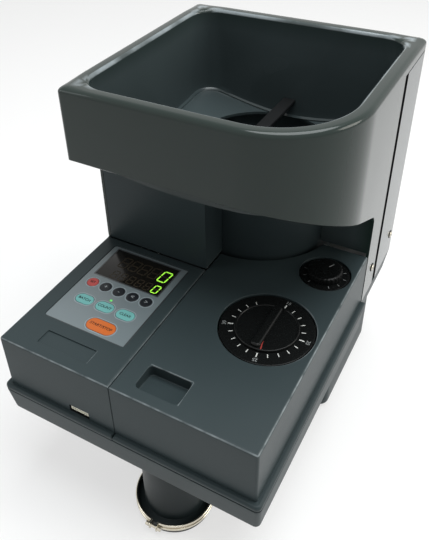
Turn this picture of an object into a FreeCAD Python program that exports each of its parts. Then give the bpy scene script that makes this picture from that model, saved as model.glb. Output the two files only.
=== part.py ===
import FreeCAD, Part
import math
import os

import Sketcher
from FreeCAD import Placement, Rotation, Vector

# Coin counting machine with a deep hopper, a lift-up coin cover, a diameter dial, a thickness dial
# and a bag tube under the front.  Millimetres; +X right, +Y to the back, +Z up.  The origin is on
# the floor, under the middle of the whole machine.

doc = FreeCAD.newDocument("coin_counter")
sheet = doc.addObject("Spreadsheet::Sheet", "sizes")

# Driving dimensions.  "setback" is measured back from the deck's front edge, "drop" down from the
# deck, "rise" up from the deck and "across" to the right of the middle.  The front setback is how
# far that edge itself lies before the origin.
DRIVING = {
    # body
    "body_width": 256, "body_depth": 374, "front_setback": 184.925, "deck_height": 186, "shell_wall": 3,
    "seam": 0.5, "moving_gap": 0.3, "running_fit": 0.05, "cut_past": 1,
    # base
    "skirt_height": 60, "lip_overhang": 5, "side_overhang": 5, "lip_thick": 6, "tray_height": 30,
    "tray_draft": 4, "side_draft": 2, "tray_corner": 5, "tray_lap": 20, "pedestal_width": 237, "pedestal_setback": 205,
    "pedestal_depth": 142, "pedestal_corner": 12, "foot_thick": 4, "foot_radius": 13, "foot_inset": 5,
    # chassis
    "track_drop": 26, "chassis_thick": 3, "chassis_margin": 4, "post_radius": 6, "post_inset": 14,
    # covers
    "seam_across": -8.3, "column_setback": 168.5, "cover_length": 261, "cover_lift_room": 7,
    "lip_play": 0.4, "hinge_behind": 1, "hinge_drop": 8, "hinge_pin_radius": 2, "knuckle_radius": 4,
    "hinge_side": 10, "hinge_clear": 5.5, "ear_thick": 4,
    # finger pocket in the coin cover
    "pocket_across": 30.7, "pocket_width": 41.6, "pocket_setback": 11.4, "pocket_length": 26.2,
    "pocket_depth": 13, "pocket_floor": 2, "pocket_flat": 12,
    # hopper
    "hopper_setback": 123, "hopper_height": 192, "hopper_corner": 86, "hopper_small_corner": 5,
    "rim_width": 14, "rim_drop": 12, "bucket_corner": 25, "skirt_drop": 73, "notch_behind": 3,
    "notch_rise": 47.5, "notch_round": 14, "leg_width": 36, "slot_width": 10, "opening_radius": 74,
    "funnel_rise": 84, "funnel_run": 3.2, "bar_width": 14, "bar_thick": 5, "bar_rise": 100,
    # feed disc and its drum
    "drum_across": -5, "drum_setback": 287, "drum_radius": 83.5, "disc_clearance": 0.6, "disc_thick": 3,
    "disc_cone_radius": 30, "disc_cone_height": 22, "disc_shaft_radius": 5, "disc_pulley_radius": 40,
    "bearing_radius": 13, "bearing_height": 12, "bridge_width": 22, "bridge_thick": 5,
    "bridge_drop": 18, "pulley_height": 12, "coin_gate_width": 38, "coin_gate_height": 8,
    # drives
    "motor_across": 76, "motor_setback": 292, "motor_radius": 35, "motor_height": 88,
    "motor_shaft_radius": 4, "motor_pulley_radius": 14, "belt_thick": 3, "belt_height": 8,
    # transport
    "track_across": 25.7, "roller_radius": 8, "roller_width": 10, "roller_shaft_radius": 3,
    "coin_height": 3.2, "transport_belt_thick": 1.5, "drive_roller_setback": 184,
    "idler_setback": 84, "bracket_thick": 4, "bracket_reach": 12, "gearmotor_radius": 11,
    "gearmotor_length": 52, "gearmotor_across": -68, "rail_width": 4, "rail_height": 4,
    "coin_size": 25, "coin_play": 0.5,
    # diameter dial: a scroll under the dial moves the fence
    "dial_across": 78.9, "dial_setback": 122.8, "dial_radius": 43.4, "dial_sink": 0.8,
    "dial_thick": 2, "dial_gap": 1.2, "knob_radius": 29.4, "knob_height": 2.5, "fin_width": 9,
    "fin_height": 5, "dial_shaft_radius": 4, "scroll_radius": 38, "scroll_thick": 4,
    "scroll_drop": 18, "scroll_start": 24, "step_angle": 16.4, "pin_radius": 2, "pin_play": 0.4,
    "dial_post_radius": 2.5, "fence_width": 6, "fence_height": 3, "smallest_coin": 15,
    "largest_coin": 34, "groove_depth": 2.6,
    # thickness dial: a screw under the dial lifts the gate
    "thick_across": 98.7, "thick_inset": 44.1, "thick_radius": 24.1, "thick_knob_radius": 17,
    "thick_knob_height": 7, "thick_shaft_radius": 3.5, "gate_drop": 15, "gate_thick": 4,
    "gate_width": 9, "gate_blade": 5, "guide_radius": 3, "guide_reach": 18.7, "gate_setback": 199,
    # stop solenoid and coin sensor
    "solenoid_across": 62, "solenoid_setback": 50, "solenoid_length": 34, "solenoid_width": 20,
    "solenoid_height": 18, "plunger_radius": 3, "plunger_reach": 12, "plunger_travel": 5,
    "sensor_setback": 108, "sensor_length": 18, "sensor_width": 11, "sensor_height": 14,
    # coin tube and bag clamp
    "tube_across": 25.7, "tube_setback": 36.3, "tube_radius": 30, "tube_wall": 3, "tube_end": 1,
    "collar_radius": 37, "collar_height": 11, "flange_radius": 40, "flange_thick": 3,
    "band_thick": 1.5, "band_height": 8, "band_lift": 6, "lug_reach": 4.4, "lug_thick": 2.5,
    "lug_gap": 5, "clamp_screw_radius": 1.6, "clamp_head_height": 3,
    # control panel
    "panel_across": -66.35, "panel_width": 90.1, "panel_setback": 42.1, "panel_length": 116.2,
    "panel_sink": 0.5, "film_thick": 0.8, "panel_corner": 4, "window_across": -67.4,
    "window_width": 73.2, "window_setback": 112.3, "window_length": 41.6, "board_drop": 12,
    "board_thick": 1.6, "board_margin": 3, "key_stand": 0.4, "key_travel": 0.8, "key_flange": 1,
    "key_play": 0.3, "round_key": 5.85, "oval_key_width": 19, "oval_key_length": 12,
    "start_key_width": 30, "start_key_length": 14.7, "round_keys_setback": 100,
    "oval_keys_setback": 76.5, "start_key_setback": 54.1, "start_key_across": -54.8,
    "round_keys_across": -97.9, "round_key_pitch": 15.55, "oval_keys_across": -90.2,
    "oval_key_pitch": 23.4, "lamp_across": -66.6, "lamp_setback": 86.6, "lamp_radius": 1.5,
    "digit_length": 17, "digit_height": 6, "digits_setback": 131,
    "small_digit_length": 13, "small_digits_setback": 113.5,
    # label recess and front connector
    "label_across": -67, "label_width": 54.6, "label_setback": 12.4, "label_length": 15.8,
    "label_depth": 1.2, "connector_across": -46.4, "connector_width": 20, "connector_height": 7.2,
    "connector_drop": 52, "connector_depth": 11, "connector_play": 1,
    # power parts
    "inlet_inset": 44, "inlet_rise": -45, "inlet_width": 27, "inlet_height": 20, "inlet_depth": 24,
    "inlet_flange": 9, "inlet_lip": 2.5, "socket_wall": 2.5, "socket_depth": 16,
    "switch_inset": 40, "switch_rise": 6, "switch_width": 19, "switch_height": 13, "switch_depth": 16,
    "switch_flange": 2, "rocker_play": 0.4, "rocker_stand": 3, "vent_count": 9, "vent_pitch": 9,
    "vent_width": 3, "vent_height": 70, "vent_rise": 60, "transformer_across": -70,
    "transformer_setback": 275, "transformer_width": 72, "transformer_length": 60,
    "transformer_height": 58, "power_board_width": 92, "power_board_length": 96,
    "power_board_across": -68, "power_board_setback": 96, "power_board_lift": 8,
    # side screws
    "screw_radius": 2, "screw_head_radius": 3.6, "screw_head_height": 2, "strip_screw_inset": 12,
    "strip_screw_drop": 34, "rear_screw_inset": 16, "rear_screw_drop": 37,
}
for row, (word, number) in enumerate(DRIVING.items(), 1):
    sheet.set(f"A{row}", str(number))
    sheet.setAlias(f"A{row}", word)
doc.recompute()


class Size:
    """A driving dimension, or a sum of such dimensions: its formula over the sheet and its value."""

    def __init__(self, text, value):
        self.text = text
        self.value = value

    def merge(self, sign, other, value, swapped=False):
        text = other.text if isinstance(other, Size) else str(other)
        first, second = (text, self.text) if swapped else (self.text, text)
        return Size(f"({first} {sign} {second})", value)

    def __add__(self, other):
        return self.merge("+", other, self.value + plain(other))

    def __radd__(self, other):
        return self.merge("+", other, other + self.value, swapped=True)

    def __sub__(self, other):
        return self.merge("-", other, self.value - plain(other))

    def __rsub__(self, other):
        return self.merge("-", other, other - self.value, swapped=True)

    def __mul__(self, other):
        return self.merge("*", other, self.value * plain(other))

    def __rmul__(self, other):
        return self.merge("*", other, other * self.value, swapped=True)

    def __truediv__(self, other):
        return self.merge("/", other, self.value / plain(other))

    def __neg__(self):
        return 0 - self


def plain(size):
    return size.value if isinstance(size, Size) else size


class Sizes:
    """Every cell of the sheet as a Size, under its own word."""

    def __init__(self):
        for word in DRIVING:
            setattr(self, word, Size(f"sizes.{word}", float(sheet.get(word))))


def bind(thing, path, size):
    """Ties one property of an object to a formula over the sheet."""
    thing.setExpression(path, size.text if isinstance(size, Size) else str(size))


def around(middle, width):
    """The two limits of a width about its middle."""
    return middle - width / 2, middle + width / 2


def through(low, high):
    """The limits of a cutting tool that runs past both faces it opens."""
    return low - s.cut_past, high + s.cut_past


def place(thing, x, y, z):
    for axis, size in zip("xyz", (x, y, z)):
        bind(thing, f"Placement.Base.{axis}", size)


def block(label, x, y, z):
    """A box between the two limits of each axis."""
    thing = doc.addObject("Part::Box", label)
    for side, (low, high) in zip(("Length", "Width", "Height"), (x, y, z)):
        bind(thing, side, high - low)
    place(thing, x[0], y[0], z[0])
    return thing


LAY = {"x": Rotation(Vector(0, 1, 0), 90), "y": Rotation(Vector(1, 0, 0), -90), "z": Rotation()}


def rod(label, along, at, radius, span):
    """A cylinder along one axis; "at" gives its place on the other two, in order."""
    thing = doc.addObject("Part::Cylinder", label)
    thing.Placement = Placement(Vector(), LAY[along])
    bind(thing, "Radius", radius)
    bind(thing, "Height", span[1] - span[0])
    base = list(at)
    base.insert("xyz".index(along), span[0])
    place(thing, *base)
    return thing


def cone(label, at, radii, span):
    thing = doc.addObject("Part::Cone", label)
    bind(thing, "Radius1", radii[0])
    bind(thing, "Radius2", radii[1])
    bind(thing, "Height", span[1] - span[0])
    place(thing, *at, span[0])
    return thing


def join(label, *things):
    thing = doc.addObject("Part::MultiFuse", label)
    thing.Shapes = list(things)
    return thing


def cut(label, base, *tools):
    thing = doc.addObject("Part::Cut", label)
    thing.Base = base
    thing.Tool = tools[0] if len(tools) == 1 else join(f"{label}_tools", *tools)
    return thing


def overlap(label, first, second):
    thing = doc.addObject("Part::Common", label)
    thing.Base = first
    thing.Tool = second
    return thing


def group(label, *things):
    """Separate like solids under one name."""
    thing = doc.addObject("Part::Compound", label)
    thing.Links = list(things)
    return thing


def sketch_in(body, label, plane="XY_Plane", height=0):
    origin = next(item for item in body.Origin.OriginFeatures if item.Role == plane)
    sketch = body.newObject("Sketcher::SketchObject", label)
    sketch.AttachmentSupport = [(origin, "")]
    sketch.MapMode = "FlatFace"
    bind(sketch, "AttachmentOffset.Base.z", height)
    return sketch


def fix(sketch, kind, geometry, point, size):
    """One named measure of a sketch, tied to the sheet."""
    if kind == "Radius":
        number = sketch.addConstraint(Sketcher.Constraint(kind, geometry, plain(size)))
    else:
        number = sketch.addConstraint(Sketcher.Constraint(kind, -1, 1, geometry, point, plain(size)))
    bind(sketch, f"Constraints[{number}]", size)


def fix_point(sketch, geometry, point, x, y):
    fix(sketch, "DistanceX", geometry, point, x)
    fix(sketch, "DistanceY", geometry, point, y)


def draw_polygon(sketch, points):
    """Straight lines from point to point."""
    spots = [Vector(plain(x), plain(y), 0) for x, y in points]
    lines = [sketch.addGeometry(Part.LineSegment(spots[i - 1], spots[i])) for i in range(len(spots))]
    for i, line in enumerate(lines):
        sketch.addConstraint(Sketcher.Constraint("Coincident", lines[i - 1], 2, line, 1))
    for line, (x, y) in zip(lines, points):
        fix_point(sketch, line, 2, x, y)


def draw_rounded(sketch, x, y, radii):
    """A rectangle whose corners are arcs; radii run front left, front right, back right, back left."""
    signs = ((-1, -1), (1, -1), (1, 1), (-1, 1))
    arcs = []
    for number, ((right, back), radius) in enumerate(zip(signs, radii)):
        middle_x = x[1] - radius if right > 0 else x[0] + radius
        middle_y = y[1] - radius if back > 0 else y[0] + radius
        middle = Vector(plain(middle_x), plain(middle_y), 0)
        start = math.pi * (1 + number / 2)
        circle = Part.Circle(middle, Vector(0, 0, 1), plain(radius))
        arc = sketch.addGeometry(Part.ArcOfCircle(circle, start, start + math.pi / 2))
        arcs.append((arc, middle_x, middle_y, radius))
    for number, (arc, *_) in enumerate(arcs):
        following = arcs[(number + 1) % len(arcs)][0]
        ends = sketch.getPoint(arc, 2), sketch.getPoint(following, 1)
        line = sketch.addGeometry(Part.LineSegment(*ends))
        sketch.addConstraint(Sketcher.Constraint("Tangent", arc, 2, line, 1))
        sketch.addConstraint(Sketcher.Constraint("Tangent", line, 2, following, 1))
    for arc, middle_x, middle_y, radius in arcs:
        fix_point(sketch, arc, 3, middle_x, middle_y)
        fix(sketch, "Radius", arc, 0, radius)


def draw_loop(sketch, first, second):
    """A belt's line round two pulleys, each given as x, y, radius."""
    near, far = (Vector(plain(x), plain(y), 0) for x, y, radius in (first, second))
    small, large = plain(first[2]), plain(second[2])
    heading = math.atan2(far.y - near.y, far.x - near.x)
    lean = math.acos((small - large) / near.distanceToPoint(far))
    arcs = []
    for middle, radius, start, end in ((near, small, heading + lean, heading - lean + 2 * math.pi),
                                       (far, large, heading - lean, heading + lean)):
        circle = Part.Circle(middle, Vector(0, 0, 1), radius)
        arcs.append(sketch.addGeometry(Part.ArcOfCircle(circle, start, end)))
    for arc, following in (arcs, arcs[::-1]):
        line = sketch.addGeometry(Part.LineSegment(sketch.getPoint(arc, 2), sketch.getPoint(following, 1)))
        sketch.addConstraint(Sketcher.Constraint("Tangent", arc, 2, line, 1))
        sketch.addConstraint(Sketcher.Constraint("Tangent", line, 2, following, 1))
    for arc, (x, y, radius) in zip(arcs, (first, second)):
        fix_point(sketch, arc, 3, x, y)
        fix(sketch, "Radius", arc, 0, radius)


def pad(body, sketch, length):
    feature = body.newObject("PartDesign::Pad", f"{sketch.Label}_pad")
    feature.Profile = sketch
    bind(feature, "Length", length)
    return feature


def plate(label, x, y, z, radii):
    """A flat-topped piece with rounded upright corners."""
    body = doc.addObject("PartDesign::Body", label)
    sketch = sketch_in(body, f"{label}_outline", height=z[0])
    draw_rounded(sketch, x, y, radii if isinstance(radii, (list, tuple)) else [radii] * 4)
    pad(body, sketch, z[1] - z[0])
    return body


def drafted(label, low, high, z):
    """A piece whose rounded outline, x, y and radius, changes from the low level to the high one."""
    body = doc.addObject("PartDesign::Body", label)
    ends = []
    for level, (x, y, radius) in zip(z, (low, high)):
        sketch = sketch_in(body, f"{label}_outline_{len(ends)}", height=level)
        draw_rounded(sketch, x, y, [radius] * 4)
        ends.append(sketch)
    loft = body.newObject("PartDesign::AdditiveLoft", f"{label}_loft")
    loft.Profile = ends[0]
    loft.Sections = ends[1:]
    loft.Ruled = True
    return body


def side_profile(label, points, x, rounded=None):
    """A piece of constant section, drawn in the side view, Y against Z, between two X limits."""
    body = doc.addObject("PartDesign::Body", label)
    sketch = sketch_in(body, f"{label}_side", "YZ_Plane", x[0])
    draw_polygon(sketch, points)
    feature = pad(body, sketch, x[1] - x[0])
    if rounded:
        corner, radius = rounded
        doc.recompute()
        spot = Vector(0, plain(corner[0]), plain(corner[1]))
        names = [f"Edge{number}" for number, edge in enumerate(feature.Shape.Edges, 1)
                 if all(math.hypot(v.Y - spot.y, v.Z - spot.z) < 1e-4 for v in edge.Vertexes)]
        fillet = body.newObject("PartDesign::Fillet", f"{label}_round")
        fillet.Base = (feature, names)
        bind(fillet, "Radius", radius)
    return body


def belt(label, first, second, thick, span, plane="XY_Plane"):
    """A flat belt: the loop round two pulleys, less the same loop drawn in by the thickness."""
    loops = []
    for name, grow in (("outer", thick), ("inner", 0)):
        body = doc.addObject("PartDesign::Body", f"{label}_{name}")
        sketch = sketch_in(body, f"{label}_{name}_line", plane, span[0])
        draw_loop(sketch, *((x, y, radius + grow) for x, y, radius in (first, second)))
        pad(body, sketch, span[1] - span[0])
        loops.append(body)
    return cut(label, *loops)


s = Sizes()
parts = {}


def part(label, thing):
    """Keeps a finished sub-part; its Label names its file."""
    thing.Label = label
    parts[label] = thing
    return thing


# Levels and lines that several pieces share
half = s.body_width / 2
front = -s.front_setback
back = front + s.body_depth
deck = s.deck_height
wall = s.shell_wall
lip_top = deck - s.skirt_height
lip_low = lip_top - s.lip_thick
tray_low = lip_low - s.tray_height
tray_floor = tray_low + wall
track = deck - s.track_drop
chassis_low = track - s.chassis_thick
floor_low = s.foot_thick
hopper_top = deck + s.hopper_height
hopper_front = front + s.hopper_setback
seam_x = s.seam_across
drum_at = (s.drum_across, front + s.drum_setback)
tube_at = (s.tube_across, front + s.tube_setback)
dial_at = (s.dial_across, front + s.dial_setback)
motor_at = (s.motor_across, front + s.motor_setback)
drum_inner = s.drum_radius - wall
cover_back = front + s.cover_length
notch_y = cover_back + s.notch_behind
side_back = notch_y + s.leg_width
thick_at = (s.thick_across, cover_back - s.thick_inset)
guide_x = s.thick_across - s.guide_reach
inlet_x = around(half - s.inlet_inset, s.inlet_width)
switch_middle = half - s.switch_inset
switch_x = around(switch_middle, s.switch_width)
# How far a cutting tool runs past the face that it opens
past = s.cut_past

# Base tray: the drafted tub under the covers, wider at the front, with a ledge that the covers stand
# on, the tube's hole and an open well to the pedestal
tray_out = half + s.side_overhang
tray_front = front - s.lip_overhang
pedestal_x = (-s.pedestal_width / 2, s.pedestal_width / 2)
pedestal_y = (front + s.pedestal_setback, front + s.pedestal_setback + s.pedestal_depth)


def tray_part(label, out, y, drafts, inset, z):
    """One drafted length of the tray; drafts are how far its sides, front and back lean in below."""
    side, lean_front, lean_back = drafts
    high = ((inset - out, out - inset), (y[0] + inset, y[1] - inset), s.tray_corner)
    low = ((inset + side - out, out - side - inset), (y[0] + inset + lean_front, y[1] - inset - lean_back),
           s.tray_corner)
    return drafted(label, low, high, z)


tray_ends = {"front": (tray_out, (tray_front, cover_back), (s.side_draft, s.tray_draft, 0)),
             "rear": (half, (cover_back - s.tray_lap, back), (s.tray_draft, 0, s.tray_draft))}
tray_body = join("tray_outside", *(tray_part(f"tray_{end}", *plan, 0, (tray_low, lip_low))
                                   for end, plan in tray_ends.items()))
tray_hollow = join("tray_inside", *(tray_part(f"tray_{end}_room", *plan, wall, (tray_floor, lip_low - wall))
                                    for end, plan in tray_ends.items()))
tray_mouth = block("tray_mouth", (wall - half, half - wall), (front + wall, back - wall),
                   (lip_low - wall - s.seam, lip_low + past))
tray_well = plate("tray_well", (pedestal_x[0] + wall, pedestal_x[1] - wall),
                  (pedestal_y[0] + wall, pedestal_y[1] - wall), through(tray_low, tray_floor),
                  s.pedestal_corner - wall)
tray_tube_hole = rod("tray_tube_hole", "z", tube_at, s.tube_radius + s.running_fit,
                     through(tray_low, tray_floor))
part("base_tray", cut("base_tray_cut", tray_body, tray_hollow, tray_mouth, tray_well, tray_tube_hole))

# Pedestal: the box under the back of the tray that carries the machine on its feet
pedestal_body = plate("pedestal_outside", pedestal_x, pedestal_y, (floor_low, tray_low), s.pedestal_corner)
pedestal_hollow = plate("pedestal_inside", (pedestal_x[0] + wall, pedestal_x[1] - wall),
                        (pedestal_y[0] + wall, pedestal_y[1] - wall), (floor_low + wall, tray_low + past),
                        s.pedestal_corner - wall)
part("pedestal", cut("pedestal_cut", pedestal_body, pedestal_hollow))

# Four rubber feet under the pedestal's corners
foot_reach = s.foot_radius + s.foot_inset
part("rubber_feet", group("feet_group", *(
    rod(f"foot_{i}_{j}", "z", (x, y), s.foot_radius, (0, floor_low))
    for i, x in enumerate((pedestal_x[0] + foot_reach, pedestal_x[1] - foot_reach))
    for j, y in enumerate((pedestal_y[0] + foot_reach, pedestal_y[1] - foot_reach)))))

# Steel chassis plate: the coin track's floor, with the disc's hole, the tube's hole, posts below and
# the guide post of the thickness gate
chassis_inset = wall + s.chassis_margin
chassis_x = (-half + chassis_inset, half - chassis_inset)
chassis_y = (front + chassis_inset, back - chassis_inset)
chassis_sheet = block("chassis_sheet", chassis_x, chassis_y, (chassis_low, track))
disc_hole = rod("disc_hole", "z", drum_at, drum_inner - s.disc_clearance, through(chassis_low, track))
coin_hole = rod("coin_hole", "z", tube_at, s.tube_radius - s.tube_wall, through(chassis_low, track))
chassis_posts = [rod(f"chassis_post_{i}_{j}", "z", (x, y), s.post_radius, (tray_floor, chassis_low))
                 for i, x in enumerate((chassis_x[0] + s.post_inset, chassis_x[1] - s.post_inset))
                 for j, y in enumerate((chassis_y[0] + s.post_inset, chassis_y[1] - s.post_inset))]
gate_top = deck - s.gate_drop
guide_at = (guide_x - s.gate_width / 2, thick_at[1])
gate_guide = rod("gate_guide", "z", guide_at, s.guide_radius, (chassis_low, gate_top + s.gate_thick))
chassis_solid = join("chassis_solid", chassis_sheet, gate_guide, *chassis_posts)
part("chassis_plate", cut("chassis_cut", chassis_solid, disc_hole, coin_hole))

# Control cover: the left half of the lower casing, with the lip, panel recess and connector slot
label_x = around(s.label_across, s.label_width)
label_y = (front + s.label_setback, front + s.label_setback + s.label_length)
panel_x = around(s.panel_across, s.panel_width)
panel_y = (front + s.panel_setback, front + s.panel_setback + s.panel_length)
window_x = around(s.window_across, s.window_width)
window_y = (front + s.window_setback, front + s.window_setback + s.window_length)
column_y = front + s.column_setback
cover_right = seam_x - s.seam / 2
film_low = deck - s.panel_sink - s.film_thick
connector_x = around(s.connector_across, s.connector_width)
connector_z = (deck - s.connector_drop - s.connector_height, deck - s.connector_drop)
cover_lip = plate("control_lip", (-tray_out, cover_right), (tray_front, cover_back), (lip_low, lip_top),
                  (s.tray_corner, s.seam, s.seam, s.seam))
cover_box = block("control_box", (-half, cover_right), (front, side_back), (lip_low, deck))
cover_room = block("control_room", (-half + wall, cover_right + past), (front + wall, side_back + past),
                   (lip_low - past, deck - wall))
tower_room = block("tower_room", (-half + wall, cover_right + past), (column_y - s.seam, side_back + past),
                   through(lip_low, deck))
panel_recess = plate("panel_recess", panel_x, panel_y, (film_low, deck + past), s.panel_corner)
window_hole = block("window_hole", window_x, window_y, (deck - wall - past, deck))
label_recess = block("label_recess", label_x, label_y, (deck - s.label_depth, deck + past))
connector_slot = block("connector_slot",
                       (connector_x[0] - s.connector_play, connector_x[1] + s.connector_play),
                       through(front, front + wall), (connector_z[0], connector_z[1] + s.connector_play))

# The keys: five round ones, three ovals and the start key, each x, y, half width, half length
keys = {}
for number in range(5):
    keys[f"round_key_{number + 1}"] = (s.round_keys_across + s.round_key_pitch * number,
                                       front + s.round_keys_setback, s.round_key, s.round_key)
for number in range(3):
    keys[f"oval_key_{number + 1}"] = (s.oval_keys_across + s.oval_key_pitch * number,
                                      front + s.oval_keys_setback, s.oval_key_width / 2,
                                      s.oval_key_length / 2)
keys["start_key"] = (s.start_key_across, front + s.start_key_setback,
                     s.start_key_width / 2, s.start_key_length / 2)
# An oval's end radius, as a share of its half length: a little under 1 keeps a straight side
OVAL_END = 0.98


def key_shape(label, key, grow, z):
    x, y, wide, deep = keys[key]
    if wide is deep:
        return rod(label, "z", (x, y), wide + grow, z)
    return plate(label, (x - wide - grow, x + wide + grow), (y - deep - grow, y + deep + grow), z,
                 (deep + grow) * OVAL_END)


key_holes = [key_shape(f"{key}_hole", key, s.key_play, (deck - wall - past, deck)) for key in keys]
lamp_at = (s.lamp_across, front + s.lamp_setback)
lamp_hole = rod("lamp_hole", "z", lamp_at, s.lamp_radius, (deck - wall - past, deck))
part("control_cover", cut("control_cut", join("control_solid", cover_lip, cover_box), cover_room, tower_room,
                          panel_recess, window_hole, label_recess, connector_slot, lamp_hole, *key_holes))

# Printed film over the panel recess, open at the keys and the lamp
film = plate("film_sheet", panel_x, panel_y, (film_low, film_low + s.film_thick), s.panel_corner)
film_holes = [key_shape(f"{key}_film_hole", key, s.key_play, (film_low - past, deck)) for key in keys]
film_window = block("film_window", window_x, window_y, (film_low - past, deck))
film_lamp = rod("film_lamp", "z", lamp_at, s.lamp_radius, (film_low - past, deck))
part("panel_film", cut("panel_film_cut", film, film_window, film_lamp, *film_holes))

# Smoked window, flush with the film
part("display_window", block("window_pane", window_x, window_y, (deck - wall, film_low + s.film_thick)))

# Display board under the cover, with the key switches and four stand-offs up to the cover
board_x = (panel_x[0] + s.board_margin, panel_x[1] - s.board_margin)
board_y = (panel_y[0] + s.board_margin, panel_y[1] - s.board_margin)
board_top = deck - s.board_drop + s.board_thick
key_low = deck - wall - s.key_flange - s.moving_gap
switch_top = key_low - s.key_travel - s.moving_gap
board_sheet = block("board_sheet", board_x, board_y, (deck - s.board_drop, board_top))
switches = [rod(f"{key}_switch", "z", (x, y), s.round_key / 2, (board_top - s.seam, switch_top))
            for key, (x, y, wide, deep) in keys.items()]
standoffs = [rod(f"standoff_{i}_{j}", "z", (x, y), s.lamp_radius, (board_top - s.seam, deck - wall))
             for i, x in enumerate((board_x[0] + s.lamp_radius, board_x[1] - s.lamp_radius))
             for j, y in enumerate((board_y[0] + s.lamp_radius, board_y[1] - s.lamp_radius))]
part("display_board", join("board_solid", board_sheet, *switches, *standoffs))

# Six large digits for the count and six small ones for the batch, on the board
digit_pitch = s.window_width / 6
digits = []
for number in range(6):
    low_x = window_x[0] + digit_pitch * number + s.moving_gap
    reach_x = (low_x, window_x[0] + digit_pitch * (number + 1) - s.moving_gap)
    for name, setback, length in (("count", s.digits_setback, s.digit_length),
                                  ("batch", s.small_digits_setback, s.small_digit_length)):
        low_y = front + setback + s.moving_gap
        digits.append(block(f"{name}_digit_{number}", reach_x, (low_y, low_y + length),
                            (board_top, board_top + s.digit_height)))
part("led_digits", group("digit_group", *digits))

# Indicator lamp, from the board up through the film
part("indicator_lamp", rod("lamp_rod", "z", lamp_at, s.lamp_radius - s.running_fit,
                           (board_top, film_low + s.film_thick)))

# Keys: a cap through the film, with a flange under the cover that keeps it in
for key, (x, y, wide, deep) in keys.items():
    cap = key_shape(f"{key}_cap", key, 0, (key_low, film_low + s.film_thick + s.key_stand))
    flange = key_shape(f"{key}_flange", key, s.key_flange, (key_low, deck - wall - s.moving_gap))
    part(key, join(f"{key}_solid", cap, flange))

# Cream plug connector, standing on the lower edge of the front slot
part("front_connector", block("connector_block", connector_x,
                              (front + s.connector_play, front + s.connector_depth), connector_z))

# Hopper: outer skirt cut along a slope, a bucket with a conical floor, and the wall behind the recess
skirt_y = (hopper_front, back)
skirt_low_z = hopper_top - s.skirt_drop
notch_z = deck + s.notch_rise
slope = (skirt_low_z - notch_z) / (notch_y - hopper_front)
column_slope_z = skirt_low_z - slope * (column_y - hopper_front)
spare = wall * 4
skirt_radii = (s.hopper_small_corner, s.hopper_corner, s.hopper_small_corner, s.hopper_small_corner)
skirt = plate("hopper_outside", (-half, half), skirt_y, (lip_low, hopper_top), skirt_radii)
skirt_hollow = plate("hopper_hollow", (-half + wall, half - wall), (hopper_front + wall, back - wall),
                     (lip_low - past, hopper_top - wall), [radius - wall for radius in skirt_radii])
front_points = [(hopper_front - spare, lip_top - spare), (hopper_front - spare, skirt_low_z),
                (hopper_front, skirt_low_z)]
right_notch = side_profile("right_notch", front_points + [(notch_y, notch_z), (notch_y, lip_top - spare)],
                           (seam_x, half + spare), rounded=((notch_y, notch_z), s.notch_round))
left_notch = side_profile("left_notch", front_points + [
    (column_y, column_slope_z), (column_y, deck + s.seam), (back + spare, deck + s.seam),
    (back + spare, lip_top - spare)], (-half - spare, seam_x))
rear_gap = block("hopper_rear_gap", (-half - spare, half + spare), (side_back, back + spare),
                 (lip_top - spare, hopper_top - s.rim_drop))
skirt_shell = cut("hopper_shell", skirt, skirt_hollow, right_notch, left_notch, rear_gap)
bucket_radii = (s.bucket_corner, s.hopper_corner - s.rim_width, s.bucket_corner, s.bucket_corner)
inside_x = (-half + s.rim_width, half - s.rim_width)
inside_y = (hopper_front + s.rim_width, back - s.rim_width)
funnel_low = deck + s.funnel_rise
funnel_under = funnel_low - wall
cone_top = hopper_top + wall
bucket_out = plate("bucket_outside", (inside_x[0] - wall, inside_x[1] + wall),
                   (inside_y[0] - wall, inside_y[1] + wall), (funnel_under, hopper_top - s.seam),
                   [radius + wall for radius in bucket_radii])
bucket_in = plate("bucket_inside", inside_x, inside_y, (funnel_under, hopper_top + past), bucket_radii)


def funnel(label, low):
    """The upturned cone whose skin is the hopper's floor."""
    return cone(label, drum_at, (s.opening_radius, s.opening_radius + (cone_top - low) * s.funnel_run),
                (low, cone_top))


bucket = overlap("bucket_solid", bucket_out, funnel("funnel_under_cone", funnel_under))
bucket_room = overlap("bucket_room", bucket_in, funnel("funnel_cone", funnel_low))
bucket_hole = rod("bucket_hole", "z", drum_at, s.opening_radius, through(funnel_under, funnel_low))
drum_room = rod("drum_room", "z", drum_at, s.drum_radius + s.seam, (chassis_low, funnel_under))
recess_wall = block("recess_wall", (s.drum_across, half - wall / 2), (notch_y, notch_y + wall),
                    (deck + s.seam, funnel_low))
part("hopper", cut("hopper_cut", join("hopper_solid", skirt_shell, bucket, recess_wall),
                   bucket_room, bucket_hole, drum_room))

# Bar across the hopper's mouth, from the back wall over the feed opening
bar_x = around(s.drum_across, s.bar_width)
bar_z = (deck + s.bar_rise, deck + s.bar_rise + s.bar_thick)
bar_body = block("bar_body", bar_x, (inside_y[0], inside_y[1]), bar_z)
part("hopper_bar", overlap("bar_in_bucket", bar_body, funnel("bar_cone", funnel_low)))

# Column: the tower's panel left of the recess, front and inner side in one
column_z = (deck, skirt_low_z)
column_front = block("column_front", (-half + wall + s.seam, seam_x), (column_y, column_y + wall), column_z)
column_side = block("column_side", (seam_x - wall, seam_x), (column_y, front + s.drum_setback), column_z)
part("tower_column", cut("column_cut", join("column_solid", column_front, column_side), drum_room,
                         funnel("column_cone", funnel_under - s.seam)))

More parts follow.
